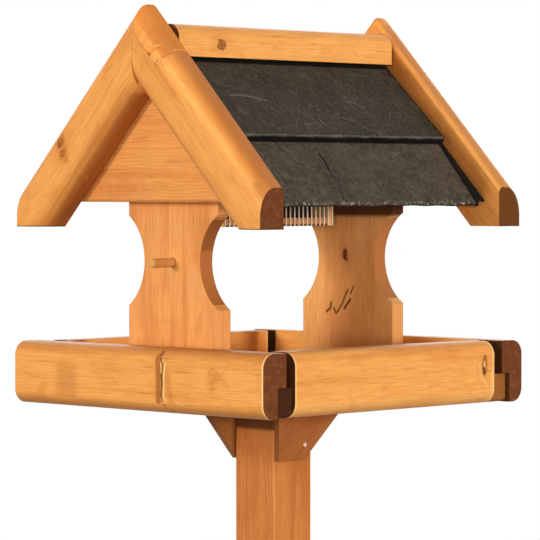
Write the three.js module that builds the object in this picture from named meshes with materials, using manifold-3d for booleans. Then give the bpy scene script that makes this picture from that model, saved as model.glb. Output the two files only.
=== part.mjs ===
// A garden bird table: a slated gable roof on two waisted boards, over a square tray of
// round-edged rails, on a tall square post with a crossed foot.
// Millimetres, +Z up. The origin is on the ground, under the middle of the post.
// The front gable faces -Y and the ridge runs along Y.

import * as THREE from 'three';
import * as BufferGeometryUtils from 'three/addons/utils/BufferGeometryUtils.js';
import Module from 'manifold-3d';

const wasm = await Module();
wasm.setup();

// Fits shared by every joint
const seat = 0.3;          // gap left where two pieces touch
const overrun = 5;         // how far a cutter runs past what it cuts
const arcSteps = 6;        // facets in a rounded corner

// Tray
const trayWidth = 422;     // along X, over the outer faces of the side rails
const trayDepth = 452;     // along Y, over the outer faces of the end rails
const railHeight = 75;
const railThick = 38;
const railRound = 17;      // the rounded outer edges of a rail
const cornerSlot = 13.6;   // drainage slot between a side rail and an end rail
const lapDepth = 14;       // how far a side rail's tongue enters the end rail
const lapHeight = 35;      // height of that tongue
const lapRecess = 6;       // how far the tongue lies behind the rail's outer face
const bearerWidth = 34;
const bearerHeight = 18;
const floorThick = 12;
const floorBoards = 4;
const floorGap = 2;        // gap between two floor boards, for rain

// Post and the shift of the tray on it
const trayBase = 1150;     // underside of the tray above the ground
const tableShift = 3.4;    // the table sits this much to the left and front of its post
const postSize = 66;
const postRound = 2;

// Brackets under the tray
const bracketThick = 7;
const bracketDrop = 69;    // from the tray's underside down to a bracket's foot
const rightBracketFoot = 45;   // level foot, along Y
const rightBracketLean = 49;   // slope of the long edge, in degrees from the vertical
const leftBracketFoot = 62;    // the left one was sawn longer and steeper
const leftBracketLean = 41;
const bracketInset = 1;    // set in from the post's arris
const screwHead = 6;
const screwHeadRise = 1;
const screwShank = 3.4;
const screwLength = 34;
const screwAcross = 46;    // from the bracket's upright edge to its screw
const screwUp = 18;        // from the bracket's foot to its screw

// Crossed foot
const footSpan = 620;
const footWidth = 64;
const footHeight = 44;
const footBevel = 16;
const braceReach = 150;
const braceThick = 28;
const braceWidth = 44;

// Uprights
const uprightWidth = 152;
const uprightThick = 20;
const uprightLap = 56;     // how far an upright runs up behind its gable board
const uprightShift = -1.5; // both stand this much to the left
const waistDrop = 40;      // middle of the waist, below the eaves
const waistThroat = 94.5;  // width left at the waist
const waistRadius = 67;
const waistShift = -3.2;   // the waist was sawn a little to the left of the board's middle
const waistSteps = 32;

// Perch
const perchDiameter = 10.6;
const perchReach = 34.5;
const perchDrop = 1.5;     // below the middle of the waist
const perchShift = -0.4;
const perchEase = 1;

// Roof
const roofPitch = 46;      // degrees
const roofWidth = 413;     // along X, over the plumb cuts of the rafters
const roofOverhang = 0.5;  // how far the rafters' faces stand out over the tray's ends
const eavesHeight = 214;   // level cut of the rafters, above the tray's underside
const plumbCut = 47.2;     // height of a rafter's upright end
const rafterWidth = 68;
const rafterThick = 38;
const rafterRound = 23.5;
const rafterEase = 3.5;
const apexEase = 6;        // the peak's back edge is taken off
const tongueThick = 11;    // front tongue of the halved joint at the apex
const tongueInset = 24;    // from the outer line down to the tongue
const tongueEnd = 2.5;     // the tongue stops this far past the middle
const shoulderDepth = 79;  // the right rafter's shoulder, from the left rafter's outer line
const shoulderGroove = 4.5;
const grooveDepth = 1.6;
const gableThick = 27;
const gableLift = 30;      // from the eaves up to the underside of the gable board
const gableEase = 3;

// Ridge rail
const ridgeRailWidth = 66;
const ridgeRailThick = 38;
const ridgeRailRound = 16;
const ridgeRailLift = 4.7; // clear of the slates at its lower edges
const ridgeRailGapFront = 4.5;
const ridgeRailGapRear = 2.5;

// Roof covering, each layer measured square to the slope
const slateSink = 21.5;    // from the rafters' outer line down to the lower slate
const slateThick = 6;
const feltThick = 1.5;
const sarkingThick = 12;
const slateFrontGap = 2;
const slateRearGap = 10.5;
const rightSlateEdge = 195;   // lower edge of the lower slate, out from the ridge
const leftSlateEdge = 189;    // the left one was sawn shorter
const lowerSlateTop = 115;    // upper edge, out from the ridge
const upperSlateEdge = 129;
const upperSlateTop = 29.5;
const hewnDepth = 2.2;        // how far the dressed edge of a slate wanders
const upperSlateChip = 11;    // broken top corner
const lowerSlateTaper = 12;   // its rear end is sawn off this much out of square

// Nut basket under the ridge: a wooden frame with wire mesh on its two long sides
const basketLength = 197;
const basketWidth = 30;
const basketFloorThick = 10;
const basketEndThick = 9;
const meshPitch = 7.6;
const meshRows = 7;
const wireWidth = 1.8;

// Worked-out sizes
const halfWidth = trayWidth / 2;
const halfDepth = trayDepth / 2;
const innerX = halfWidth - railThick;
const innerY = halfDepth - railThick;
const sideRailEnd = innerY - cornerSlot;
const floorTop = bearerHeight + floorThick;
const slope = THREE.MathUtils.degToRad(roofPitch);
const rise = Math.tan(slope);
const roofLength = trayDepth + 2 * roofOverhang;   // along Y, over the faces of the rafters
const gableFace = roofLength / 2;
const rafterBack = gableFace - rafterThick;
const uprightFace = rafterBack - gableThick - seat;   // the uprights stand behind the gable boards
const roofHalf = roofWidth / 2;
const ridgeHeight = eavesHeight + plumbCut + roofHalf * rise;   // where the rafters' outer lines meet
const gableBase = eavesHeight + gableLift;
const basketBase = eavesHeight;   // the basket hangs down level with the eaves
const waistHeight = eavesHeight - waistDrop;
const perchHeight = waistHeight - perchDrop;
const sarkingTop = slateSink + slateThick + feltThick;
const sarkingUnder = sarkingTop + sarkingThick;
const ridgeRailBase = ridgeRailLift + slopePoint(ridgeRailWidth / 2, slateSink)[1];
const uprightTop = gableBase + uprightLap;

// Materials
function material(color, roughness, metalness = 0) {
  return new THREE.MeshStandardMaterial({ color, roughness, metalness });
}

const looks = {
  wood: () => material(0xd98c46, 0.62),
  endWood: () => material(0xb8733a, 0.7),
  slate: () => material(0x3a3a36, 0.75),
  felt: () => material(0x1d1a18, 0.95),
  steel: () => material(0xb9b6ae, 0.4, 0.9),
};

// Solids
function solid(geometry) {
  const plain = geometry.clone();
  plain.deleteAttribute('normal');
  plain.deleteAttribute('uv');
  const merged = BufferGeometryUtils.mergeVertices(plain);
  return new wasm.Manifold(new wasm.Mesh({
    numProp: 3,
    vertProperties: new Float32Array(merged.attributes.position.array),
    triVerts: new Uint32Array(merged.index.array),
  }));
}

function geometryOf(body) {
  const mesh = body.getMesh();
  const geometry = new THREE.BufferGeometry();
  geometry.setAttribute('position', new THREE.BufferAttribute(mesh.vertProperties, 3));
  geometry.setIndex(new THREE.BufferAttribute(mesh.triVerts, 1));
  geometry.computeVertexNormals();
  return geometry;
}

function box(x0, x1, y0, y1, z0, z1) {
  const geometry = new THREE.BoxGeometry(x1 - x0, y1 - y0, z1 - z0);
  geometry.translate((x0 + x1) / 2, (y0 + y1) / 2, (z0 + z1) / 2);
  return geometry;
}

// Sweeps a flat shape along the direction that is square to its two axes
function sweep(shape, length, across, up, origin) {
  const geometry = new THREE.ExtrudeGeometry(shape, {
    depth: length,
    bevelEnabled: false,
    curveSegments: arcSteps,
  });
  const along = new THREE.Vector3().crossVectors(across, up);
  geometry.applyMatrix4(new THREE.Matrix4().makeBasis(across, up, along).setPosition(origin));
  return geometry;
}

function outline(points) {
  return new THREE.Shape(points.map(([u, v]) => new THREE.Vector2(u, v)));
}

const axisX = new THREE.Vector3(1, 0, 0);
const axisY = new THREE.Vector3(0, 1, 0);
const axisZ = new THREE.Vector3(0, 0, 1);
const againstY = new THREE.Vector3(0, -1, 0);

// A shape in the XZ plane, swept along Y from one place to another
function plateAcrossY(shape, y0, y1) {
  return sweep(shape, y1 - y0, axisX, axisZ, new THREE.Vector3(0, y1, 0));
}

// Section of a round-edged rail: depth from its rounded face, and height
function railSection(height, thick, round, ease) {
  const shape = new THREE.Shape();
  shape.moveTo(round, 0);
  shape.lineTo(thick - ease, 0);
  shape.lineTo(thick, ease);
  shape.lineTo(thick, height - ease);
  shape.lineTo(thick - ease, height);
  shape.lineTo(round, height);
  shape.absarc(round, height - round, round, Math.PI / 2, Math.PI, false);
  shape.absarc(round, round, round, Math.PI, 1.5 * Math.PI, false);
  return shape;
}

const model = new THREE.Group();
const table = new THREE.Group();
table.position.set(-tableShift, -tableShift, trayBase);
model.add(table);

function add(parent, name, geometry, look, turn = 0) {
  const mesh = new THREE.Mesh(geometry, looks[look]());
  mesh.name = name;
  mesh.rotation.z = turn;
  parent.add(mesh);
  return mesh;
}

// Tray rails. The end rails run right across, and the side rails have a low tongue at each
// end that enters a notch in the end rail, past an open slot.
function endRail() {
  const section = railSection(railHeight, railThick, railRound, seat);
  const start = new THREE.Vector3(-halfWidth, -halfDepth, 0);
  let rail = solid(sweep(section, trayWidth, axisY, axisZ, start));
  for (const side of [-1, 1]) {
    const from = side * (innerX - seat);
    const to = side * (halfWidth + overrun);
    rail = rail.subtract(solid(box(
      Math.min(from, to), Math.max(from, to),
      -innerY - lapDepth, -innerY + overrun,
      -overrun, lapHeight,
    )));
  }
  return geometryOf(rail);
}

function sideRail() {
  const section = railSection(railHeight, railThick, railRound, seat);
  const reach = innerY + lapDepth - seat;
  const start = new THREE.Vector3(-reach, -halfWidth, 0);
  let rail = solid(sweep(section, 2 * reach, axisY, axisZ, start));
  for (const side of [-1, 1]) {
    const from = side * sideRailEnd;
    const to = side * (reach + overrun);
    const near = Math.min(from, to);
    const far = Math.max(from, to);
    const above = box(near, far, -halfWidth - overrun, -innerX + overrun,
      lapHeight - seat, railHeight + overrun);
    const outside = box(near, far, -halfWidth - overrun, -halfWidth + lapRecess,
      -overrun, lapHeight);
    rail = rail.subtract(solid(above)).subtract(solid(outside));
  }
  return geometryOf(rail);
}

function addTray() {
  add(table, 'tray_rail_front', endRail(), 'wood');
  add(table, 'tray_rail_rear', endRail(), 'wood', Math.PI);
  add(table, 'tray_rail_right', sideRail(), 'wood', Math.PI / 2);
  add(table, 'tray_rail_left', sideRail(), 'wood', -Math.PI / 2);

  // The bearers lie along the two sides of the post and carry the floor boards
  const bearerInner = postSize / 2 + seat;
  for (const [name, side] of [['left', -1], ['right', 1]]) {
    const middle = tableShift + side * (bearerInner + bearerWidth / 2);
    add(table, `floor_bearer_${name}`, box(
      middle - bearerWidth / 2, middle + bearerWidth / 2,
      -innerY + seat, innerY - seat, 0, bearerHeight,
    ), 'wood');
  }

  const boardPitch = (2 * (innerY - seat) + floorGap) / floorBoards;
  for (let i = 0; i < floorBoards; i++) {
    const start = -innerY + seat + i * boardPitch;
    add(table, `floor_board_${i + 1}`, box(
      -innerX + seat, innerX - seat,
      start, start + boardPitch - floorGap,
      bearerHeight + seat, floorTop,
    ), 'wood');
  }
}

// Uprights: boards with a round waist sawn into both edges
function waistEdge(side) {
  const edge = side * uprightWidth / 2 + uprightShift;
  const centre = side * (waistThroat / 2 + waistRadius) + waistShift;
  const half = Math.acos(side * (centre - edge) / waistRadius);
  const points = [[edge, floorTop + seat]];
  for (let i = 0; i <= waistSteps; i++) {
    const angle = THREE.MathUtils.lerp(-half, half, i / waistSteps);
    points.push([
      centre - side * waistRadius * Math.cos(angle),
      waistHeight + waistRadius * Math.sin(angle),
    ]);
  }
  points.push([edge, uprightTop]);
  return points;
}

function dowel(diameter, length, ease) {
  const radius = diameter / 2;
  const profile = [
    [0, 0], [radius, 0], [radius, length - ease], [radius - ease, length], [0, length],
  ].map(([r, h]) => new THREE.Vector2(r, h));
  return new THREE.LatheGeometry(profile, 4 * arcSteps);
}

function addUprights() {
  const board = outline([...waistEdge(1), ...waistEdge(-1).reverse()]);
  const innerFace = uprightFace - uprightThick;
  const perchX = uprightShift + perchShift;

  // The lathe turns about Y, so a dowel already runs along Y. It points to the front.
  const perch = dowel(perchDiameter, perchReach + uprightThick, perchEase);
  perch.rotateX(Math.PI);
  perch.translate(perchX, -innerFace, perchHeight);
  const bore = dowel(perchDiameter + 2 * seat, uprightThick + 2 * overrun, 0);
  bore.rotateX(Math.PI);
  bore.translate(perchX, -innerFace + overrun, perchHeight);

  // Both boards stop under the roof boards
  const front = solid(plateAcrossY(board, -uprightFace, -innerFace)).subtract(solid(bore));
  const rear = solid(plateAcrossY(board, innerFace, uprightFace));
  add(table, 'upright_front', geometryOf(front.intersect(underRoof())), 'wood');
  add(table, 'upright_rear', geometryOf(rear.intersect(underRoof())), 'wood');
  add(table, 'perch', perch, 'wood');
}

// A point of the right-hand roof slope: how far out from the ridge, and how deep below the
// rafters' outer line, square to the slope
function slopePoint(out, depth) {
  return [out, ridgeHeight - depth / Math.cos(slope) - out * rise];
}

// How far out from the ridge a layer at this depth comes down to a height
function outWhere(depth, height) {
  return (ridgeHeight - depth / Math.cos(slope) - height) / rise;
}

// A board or sheet on the right-hand slope, from just under the ridge rail down to a lower
// edge that is level with the underside of the gable boards
function slopeSheet(top, under, length) {
  const lean = (under - top) * Math.sin(slope);
  const [ax, az] = slopePoint(outWhere(top, ridgeRailBase - seat), top);
  const [bx, bz] = slopePoint(outWhere(under, gableBase) + lean, top);
  const drop = (under - top) * Math.cos(slope);
  return plateAcrossY(outline([[ax, az], [ax - lean, az - drop], [bx - lean, bz - drop], [bx, bz]]),
    -length / 2, length / 2);
}

// The space under the roof boards and the ridge rail
function underRoof() {
  const far = 2 * roofWidth;
  const [, peak] = slopePoint(0, sarkingUnder + seat);
  const roof = solid(plateAcrossY(outline([
    [-far, peak - far * rise],
    [far, peak - far * rise],
    [0, peak],
  ]), -roofLength, roofLength));
  return roof.subtract(solid(box(-far, far, -far, far, ridgeRailBase - seat, 2 * ridgeHeight)));
}

// A rafter as a long bar down the right-hand slope of the front gable, rounded along its
// front edges. The lower edge may be kept square, and the whole section drawn in, for cutting
// the halved joint.
function rafterBar(squareInside, drawnIn = 0) {
  const down = new THREE.Vector3(Math.cos(slope), 0, -Math.sin(slope));
  const inward = new THREE.Vector3(-Math.sin(slope), 0, -Math.cos(slope));
  const reach = rafterWidth * 2 + roofHalf / Math.cos(slope);
  const front = rafterThick - drawnIn;
  const round = rafterRound - drawnIn;
  const shape = new THREE.Shape();
  shape.moveTo(rafterEase, drawnIn);
  shape.lineTo(0, rafterEase + drawnIn);
  shape.lineTo(0, rafterWidth - rafterEase);
  shape.lineTo(rafterEase, rafterWidth);
  if (squareInside) {
    shape.lineTo(front, rafterWidth);
  } else {
    shape.lineTo(front - round, rafterWidth);
    shape.absarc(front - round, rafterWidth - round, round, Math.PI / 2, 0, true);
  }
  shape.lineTo(front, round + drawnIn);
  shape.absarc(front - round, round + drawnIn, round, 0, -Math.PI / 2, true);
  const start = new THREE.Vector3(0, -rafterBack, ridgeHeight).addScaledVector(down, -rafterWidth);
  return solid(sweep(shape, reach, againstY, inward, start));
}

// All that lies deeper than this under the outer line of the left rafter, measured square to it
function underLeftSlope(depth) {
  const far = 2 * roofWidth;
  const drop = depth / Math.cos(slope);
  return solid(plateAcrossY(outline([
    [-far, ridgeHeight - drop - far * rise],
    [-far, -far],
    [far, -far],
    [far, ridgeHeight - drop + far * rise],
  ]), -roofLength, roofLength));
}

function mirrored(body) {
  return body.mirror([1, 0, 0]);
}

// The flat front tongue of the right rafter, grown by a gap where it is a cutter
function tonguePlate(gap) {
  const front = -gableFace + tongueThick;
  const top = tongueInset - gap;
  const foot = rafterWidth + gap;
  const end = -tongueEnd - gap;
  const at = (x, depth) => [x, ridgeHeight - depth / Math.cos(slope) - x * rise];
  return solid(plateAcrossY(outline([
    at(end, top),
    at(end, foot),
    at(shoulderDepth, foot),
    at(shoulderDepth, top),
  ]), -roofLength, front + gap));
}

// The halved joint at the peak. A thin front tongue of the right rafter runs on over the left
// one. Behind it the left rafter runs through to the right slope and is rounded over like the
// right rafter's own edge, up to a shoulder that shows as a groove.
function rafters() {
  const bar = rafterBar(false);
  const squareBar = rafterBar(true);
  const drawnBar = rafterBar(true, grooveDepth);

  const right = bar.intersect(underLeftSlope(shoulderDepth).add(tonguePlate(0)));

  const passing = mirrored(underLeftSlope(rafterWidth - overrun)).add(squareBar);
  const heel = bar
    .intersect(underLeftSlope(rafterWidth - overrun))
    .subtract(underLeftSlope(shoulderDepth - seat));
  const groove = underLeftSlope(shoulderDepth - shoulderGroove).subtract(drawnBar);
  const backEdge = solid(sweep(outline([[0, 0], [-apexEase, 0], [0, -apexEase]]),
    4 * rafterWidth, axisY, axisZ, new THREE.Vector3(-2 * rafterWidth, -rafterBack, ridgeHeight)));
  const left = mirrored(bar)
    .intersect(passing)
    .add(heel)
    .subtract(groove)
    .subtract(tonguePlate(seat))
    .subtract(backEdge);

  const foot = solid(box(-roofHalf, roofHalf, -roofLength, roofLength, eavesHeight, 2 * ridgeHeight));
  return {
    right: geometryOf(right.intersect(foot)),
    left: geometryOf(left.intersect(foot)),
  };
}

function gableBoard() {
  const corner = roofWidth;
  const blank = solid(box(-corner, corner, -rafterBack + seat, -rafterBack + gableThick,
    gableBase, ridgeHeight));
  const ease = solid(sweep(outline([[0, 0], [gableEase, 0], [0, gableEase]]),
    2 * corner, axisY, axisZ, new THREE.Vector3(-corner, -rafterBack + seat, gableBase)));
  return geometryOf(blank.intersect(underRoof()).subtract(ease));
}

function addGables() {
  for (const [end, turn] of [['front', 0], ['rear', Math.PI]]) {
    const pair = rafters();
    add(table, `rafter_${end}_left`, pair.left, 'wood', turn);
    add(table, `rafter_${end}_right`, pair.right, 'wood', turn);
    add(table, `gable_board_${end}`, gableBoard(), 'wood', turn);
  }
}

function addRidge() {
  const section = railSection(ridgeRailWidth, ridgeRailThick, ridgeRailRound, seat);
  const front = -rafterBack + ridgeRailGapFront;
  const rear = rafterBack - ridgeRailGapRear;
  const down = new THREE.Vector3(0, 0, -1);
  const start = new THREE.Vector3(-ridgeRailWidth / 2, rear, ridgeRailBase + ridgeRailThick);
  add(table, 'ridge_rail', sweep(section, rear - front, down, axisX, start), 'wood');
}

// Slates. The dressed lower edge wanders by hand-chosen shares of its depth.
const hewnShares = [0.2, 0.75, 0.4, 0.9, 0.3, 0.6, 0.1, 0.85, 0.5, 0.95, 0.35, 0.7, 0.15, 0.6];

// A slate lying flat: X runs down the slope from 0 to its length, Y runs along the eaves.
// Its rear top corner may be broken off, and its rear end may be sawn out of square.
function slateBlank(length, width, chip, taper) {
  const points = [[0, width / 2 - chip], [0, -width / 2], [length, -width / 2]];
  hewnShares.forEach((share, i) => {
    const along = (i + 1) / (hewnShares.length + 1);
    points.push([length - share * hewnDepth, along * (width - taper) - width / 2]);
  });
  points.push([length, width / 2 - taper]);
  points.push([chip, width / 2]);
  return outline(points);
}

// Lays a slate on the slope: its upper end lies at one depth and its lower edge at another
function laySlate(outTop, outEdge, depthTop, depthEdge, chip, taper) {
  const frontEdge = -rafterBack + slateFrontGap;
  const rearEdge = rafterBack - slateRearGap;
  const [ax, az] = slopePoint(outTop, depthTop);
  const [bx, bz] = slopePoint(outEdge, depthEdge);
  const length = Math.hypot(bx - ax, bz - az);
  const blank = slateBlank(length, rearEdge - frontEdge, chip, taper);
  const geometry = new THREE.ExtrudeGeometry(blank, { depth: slateThick, bevelEnabled: false });
  geometry.translate(0, 0, -slateThick);
  geometry.rotateY(Math.atan2(az - bz, bx - ax));
  geometry.translate(ax, (frontEdge + rearEdge) / 2, az);
  return geometry;
}

function addCovering() {
  const sheetLength = 2 * (rafterBack - seat);
  const slateTop = slateSink - seat;

  // The upper slate lies on the felt at the ridge and on the top edge of the lower slate
  const lift = (slateThick + seat) / (lowerSlateTop - upperSlateTop);
  const liftedTop = slateTop - lift * (upperSlateEdge - upperSlateTop);
  for (const [name, turn, edge] of [['right', 0, rightSlateEdge], ['left', Math.PI, leftSlateEdge]]) {
    const board = slopeSheet(sarkingTop, sarkingUnder, sheetLength);
    const felt = slopeSheet(sarkingTop - feltThick, sarkingTop - seat, sheetLength);
    const lower = laySlate(lowerSlateTop, edge, slateTop, slateTop, 0, lowerSlateTaper);
    const upper = laySlate(upperSlateTop, upperSlateEdge, slateTop, liftedTop, upperSlateChip, 0);
    add(table, `roof_board_${name}`, board, 'endWood', turn);
    add(table, `roof_felt_${name}`, felt, 'felt', turn);
    add(table, `slate_lower_${name}`, lower, 'slate', turn);
    add(table, `slate_upper_${name}`, upper, 'slate', turn);
  }
}

// Nut basket. A mesh panel is one closed lattice in the YZ plane: wires both ways, with an
// open window in every square.
function meshPanel(length, height) {
  const across = Math.round(length / meshPitch);
  const columns = 2 * across + 1;
  const rows = 2 * meshRows + 1;
  const place = (i, pitch) => Math.floor(i / 2) * pitch + (i % 2) * wireWidth;
  const alongAt = (p) => place(p, (length - wireWidth) / across);
  const heightAt = (q) => place(q, (height - wireWidth) / meshRows);
  const filled = (p, q) => p >= 0 && q >= 0 && p < columns && q < rows
    && (p % 2 === 0 || q % 2 === 0);
  const positions = [];
  const corner = (p, q, x) => [x, alongAt(p), heightAt(q)];
  const quad = (a, b, c, d) => positions.push(...a, ...b, ...c, ...a, ...c, ...d);

  for (let p = 0; p < columns; p++) {
    for (let q = 0; q < rows; q++) {
      if (!filled(p, q)) continue;
      const [a, b, c, d] = [0, wireWidth].flatMap((x) => [corner(p, q, x), corner(p + 1, q, x)]);
      const [e, f, g, h] = [0, wireWidth]
        .flatMap((x) => [corner(p, q + 1, x), corner(p + 1, q + 1, x)]);
      quad(c, d, h, g);
      quad(b, a, e, f);
      if (!filled(p, q - 1)) quad(a, b, d, c);
      if (!filled(p, q + 1)) quad(e, g, h, f);
      if (!filled(p - 1, q)) quad(a, c, g, e);
      if (!filled(p + 1, q)) quad(b, f, h, d);
    }
  }
  const geometry = new THREE.BufferGeometry();
  geometry.setAttribute('position', new THREE.Float32BufferAttribute(positions, 3));
  const merged = BufferGeometryUtils.mergeVertices(geometry);
  merged.computeVertexNormals();
  return merged;
}

function addBasket() {
  const halfLength = basketLength / 2;
  const inner = basketWidth / 2 - wireWidth - seat;
  const endFace = halfLength - basketEndThick;
  const meshHeight = meshRows * meshPitch;

  const floor = box(-inner, inner, -endFace + seat, endFace - seat,
    basketBase, basketBase + basketFloorThick);
  add(table, 'basket_floor', floor, 'wood');
  for (const [name, turn] of [['front', 0], ['rear', Math.PI]]) {
    const blank = solid(box(-inner, inner, -halfLength, -endFace, basketBase, ridgeHeight));
    add(table, `basket_end_${name}`, geometryOf(blank.intersect(underRoof())), 'wood', turn);
  }
  for (const [name, turn] of [['right', 0], ['left', Math.PI]]) {
    const panel = meshPanel(basketLength, meshHeight);
    panel.translate(inner + seat, -halfLength, basketBase);
    add(table, `basket_mesh_${name}`, panel, 'steel', turn);
  }
}

// Post
function addPost() {
  const half = postSize / 2;
  const shape = new THREE.Shape();
  shape.moveTo(half - postRound, -half);
  shape.lineTo(half, -half + postRound);
  shape.lineTo(half, half - postRound);
  shape.lineTo(half - postRound, half);
  shape.lineTo(-half + postRound, half);
  shape.lineTo(-half, half - postRound);
  shape.lineTo(-half, -half + postRound);
  shape.lineTo(-half + postRound, -half);
  const foot = footHeight + seat;
  const top = trayBase + bearerHeight;
  const post = sweep(shape, top - foot, axisX, axisY, new THREE.Vector3(0, 0, foot));

  // Pilot bores for the bracket screws, one on each side
  let body = solid(post);
  for (const turn of [0, Math.PI]) {
    const bore = screwSolid(2 * seat);
    bore.rotateZ(turn);
    body = body.subtract(solid(bore));
  }
  add(model, 'post', geometryOf(body), 'wood');
}

// A bracket lies on the right side of the post and reaches to the rear. Its long edge slopes.
function bracketPlate(footLength, lean) {
  const edge = -postSize / 2 + bracketInset;
  const foot = trayBase - bracketDrop;
  const top = trayBase - seat;
  const reach = (top - foot) * Math.tan(THREE.MathUtils.degToRad(lean));
  return sweep(outline([
    [edge, foot],
    [edge + footLength, foot],
    [edge + footLength + reach, top],
    [edge, top],
  ]), bracketThick, axisY, axisZ, new THREE.Vector3(postSize / 2 + seat, 0, 0));
}

// A round-headed screw that runs along -X into the post, drawn out by a gap for its bore
function screwSolid(gap) {
  const head = screwHead / 2 + gap / 2;
  const shank = screwShank / 2 + gap / 2;
  const tip = screwLength + gap / 2;
  const profile = [
    [0, -tip], [shank, -tip + shank], [shank, -gap / 2], [head, -gap / 2],
    [head * Math.SQRT1_2, screwHeadRise * Math.SQRT1_2], [0, screwHeadRise],
  ].map(([r, h]) => new THREE.Vector2(r, h));
  const geometry = new THREE.LatheGeometry(profile, 3 * arcSteps);
  geometry.rotateZ(-Math.PI / 2);
  geometry.translate(
    postSize / 2 + bracketThick + 2 * seat,
    -postSize / 2 + bracketInset + screwAcross,
    trayBase - bracketDrop + screwUp,
  );
  return geometry;
}

function addBrackets() {
  const sides = [
    ['right', 0, rightBracketFoot, rightBracketLean],
    ['left', Math.PI, leftBracketFoot, leftBracketLean],
  ];
  for (const [name, turn, footLength, lean] of sides) {
    const plate = solid(bracketPlate(footLength, lean)).subtract(solid(screwSolid(2 * seat)));
    add(model, `bracket_${name}`, geometryOf(plate), 'wood', turn);
    add(model, `bracket_screw_${name}`, screwSolid(0), 'steel', turn);
  }
}

// Crossed foot: two bars halved into each other, and four braces up to the post
function footBar(cutFrom, cutTo) {
  const half = footSpan / 2;
  const shape = outline([
    [-half, 0],
    [half, 0],
    [half, footHeight - footBevel],
    [half - footBevel, footHeight],
    [-half + footBevel, footHeight],
    [-half, footHeight - footBevel],
  ]);
  const bar = solid(plateAcrossY(shape, -footWidth / 2, footWidth / 2));
  const gap = footWidth / 2 + seat;
  return geometryOf(bar.subtract(solid(box(-gap, gap, -footWidth, footWidth, cutFrom, cutTo))));
}

function brace() {
  const wall = postSize / 2 + seat;
  const floor = footHeight + seat;
  const mitre = braceThick * Math.SQRT2;
  const shape = outline([
    [wall + braceReach - mitre, floor],
    [wall + braceReach, floor],
    [wall, floor + braceReach],
    [wall, floor + braceReach - mitre],
  ]);
  return plateAcrossY(shape, -braceWidth / 2, braceWidth / 2);
}

function addFoot() {
  const middle = footHeight / 2;
  add(model, 'foot_bar_lower', footBar(middle, footHeight + overrun), 'wood');
  add(model, 'foot_bar_upper', footBar(-overrun, middle + seat), 'wood', Math.PI / 2);
  for (const [i, name] of ['right', 'rear', 'left', 'front'].entries()) {
    add(model, `foot_brace_${name}`, brace(), 'wood', i * Math.PI / 2);
  }
}

addTray();
addUprights();
addGables();
addRidge();
addCovering();
addBasket();
addPost();
addBrackets();
addFoot();

export default model;
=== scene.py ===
import math

import bpy
import numpy as np
from bpy.props import FloatProperty, FloatVectorProperty, IntProperty, PointerProperty
from mathutils import Matrix, Vector


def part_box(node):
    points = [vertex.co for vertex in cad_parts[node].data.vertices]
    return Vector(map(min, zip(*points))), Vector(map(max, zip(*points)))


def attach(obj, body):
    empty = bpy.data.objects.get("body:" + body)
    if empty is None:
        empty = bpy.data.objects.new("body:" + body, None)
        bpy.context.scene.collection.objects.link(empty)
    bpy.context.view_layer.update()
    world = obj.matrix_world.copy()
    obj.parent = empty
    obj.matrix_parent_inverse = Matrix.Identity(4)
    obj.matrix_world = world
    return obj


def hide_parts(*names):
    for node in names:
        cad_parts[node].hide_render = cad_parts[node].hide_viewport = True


bl_info = {
    "name": "Garden bird table",
    "version": (1, 0, 0),
    "blender": (4, 5, 0),
    "location": "3D View > Sidebar > Bird table",
    "description": "Dresses the solid model of a garden bird table: stained timber, slate, felt, "
                   "wire mesh and screws, with a plain studio around it",
    "category": "Object",
}

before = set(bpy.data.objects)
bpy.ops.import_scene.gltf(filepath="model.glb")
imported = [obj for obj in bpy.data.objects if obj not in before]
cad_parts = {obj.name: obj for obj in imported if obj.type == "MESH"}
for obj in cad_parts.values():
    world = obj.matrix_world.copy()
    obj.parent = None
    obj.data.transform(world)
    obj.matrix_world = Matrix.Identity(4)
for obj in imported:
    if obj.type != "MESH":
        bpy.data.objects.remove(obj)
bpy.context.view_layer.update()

MM = 0.001
ROOF_PITCH = math.radians(46)
SHARP_ARRIS = math.radians(50)
SLATE_GRID = (68, 240)
SPLIT_LAYERS = 4
SAME_WAY = 0.97
FLOOR_SIDES = 96
SENSOR_WIDTH = 36
WOOD_SHEEN = 0.11
STONE_SHEEN = 0.05
FLOOR_BOUNCE = 0.25
FLOOR_GLOW = 0.42

# Of the tray's corners, in millimetres
SLOT_WIDTH = 13.6
NOTCH_DEPTH = 14.2
NOTCH_HEIGHT = 35.3
RAIL_THICK = 38.5

ALONG_X = Vector((1, 0, 0))
ALONG_Y = Vector((0, 1, 0))
ALONG_Z = Vector((0, 0, 1))
DOWN_RIGHT_SLOPE = Vector((math.cos(ROOF_PITCH), 0, -math.sin(ROOF_PITCH)))
DOWN_LEFT_SLOPE = Vector((-math.cos(ROOF_PITCH), 0, -math.sin(ROOF_PITCH)))


# Settings that a user would change

def colour(name, description, value):
    return FloatVectorProperty(name=name, description=description, subtype="COLOR", size=3,
                               min=0, max=1, default=value)


def number(name, description, value, low=0, **more):
    return FloatProperty(name=name, description=description, default=value, min=low, **more)


def length(*given):
    return number(*given, unit="LENGTH", subtype="DISTANCE")


def share(*given):
    return number(*given, max=1, subtype="FACTOR")


def angle(name, description, degrees):
    return number(name, description, math.radians(degrees), -math.pi, subtype="ANGLE")


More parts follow.
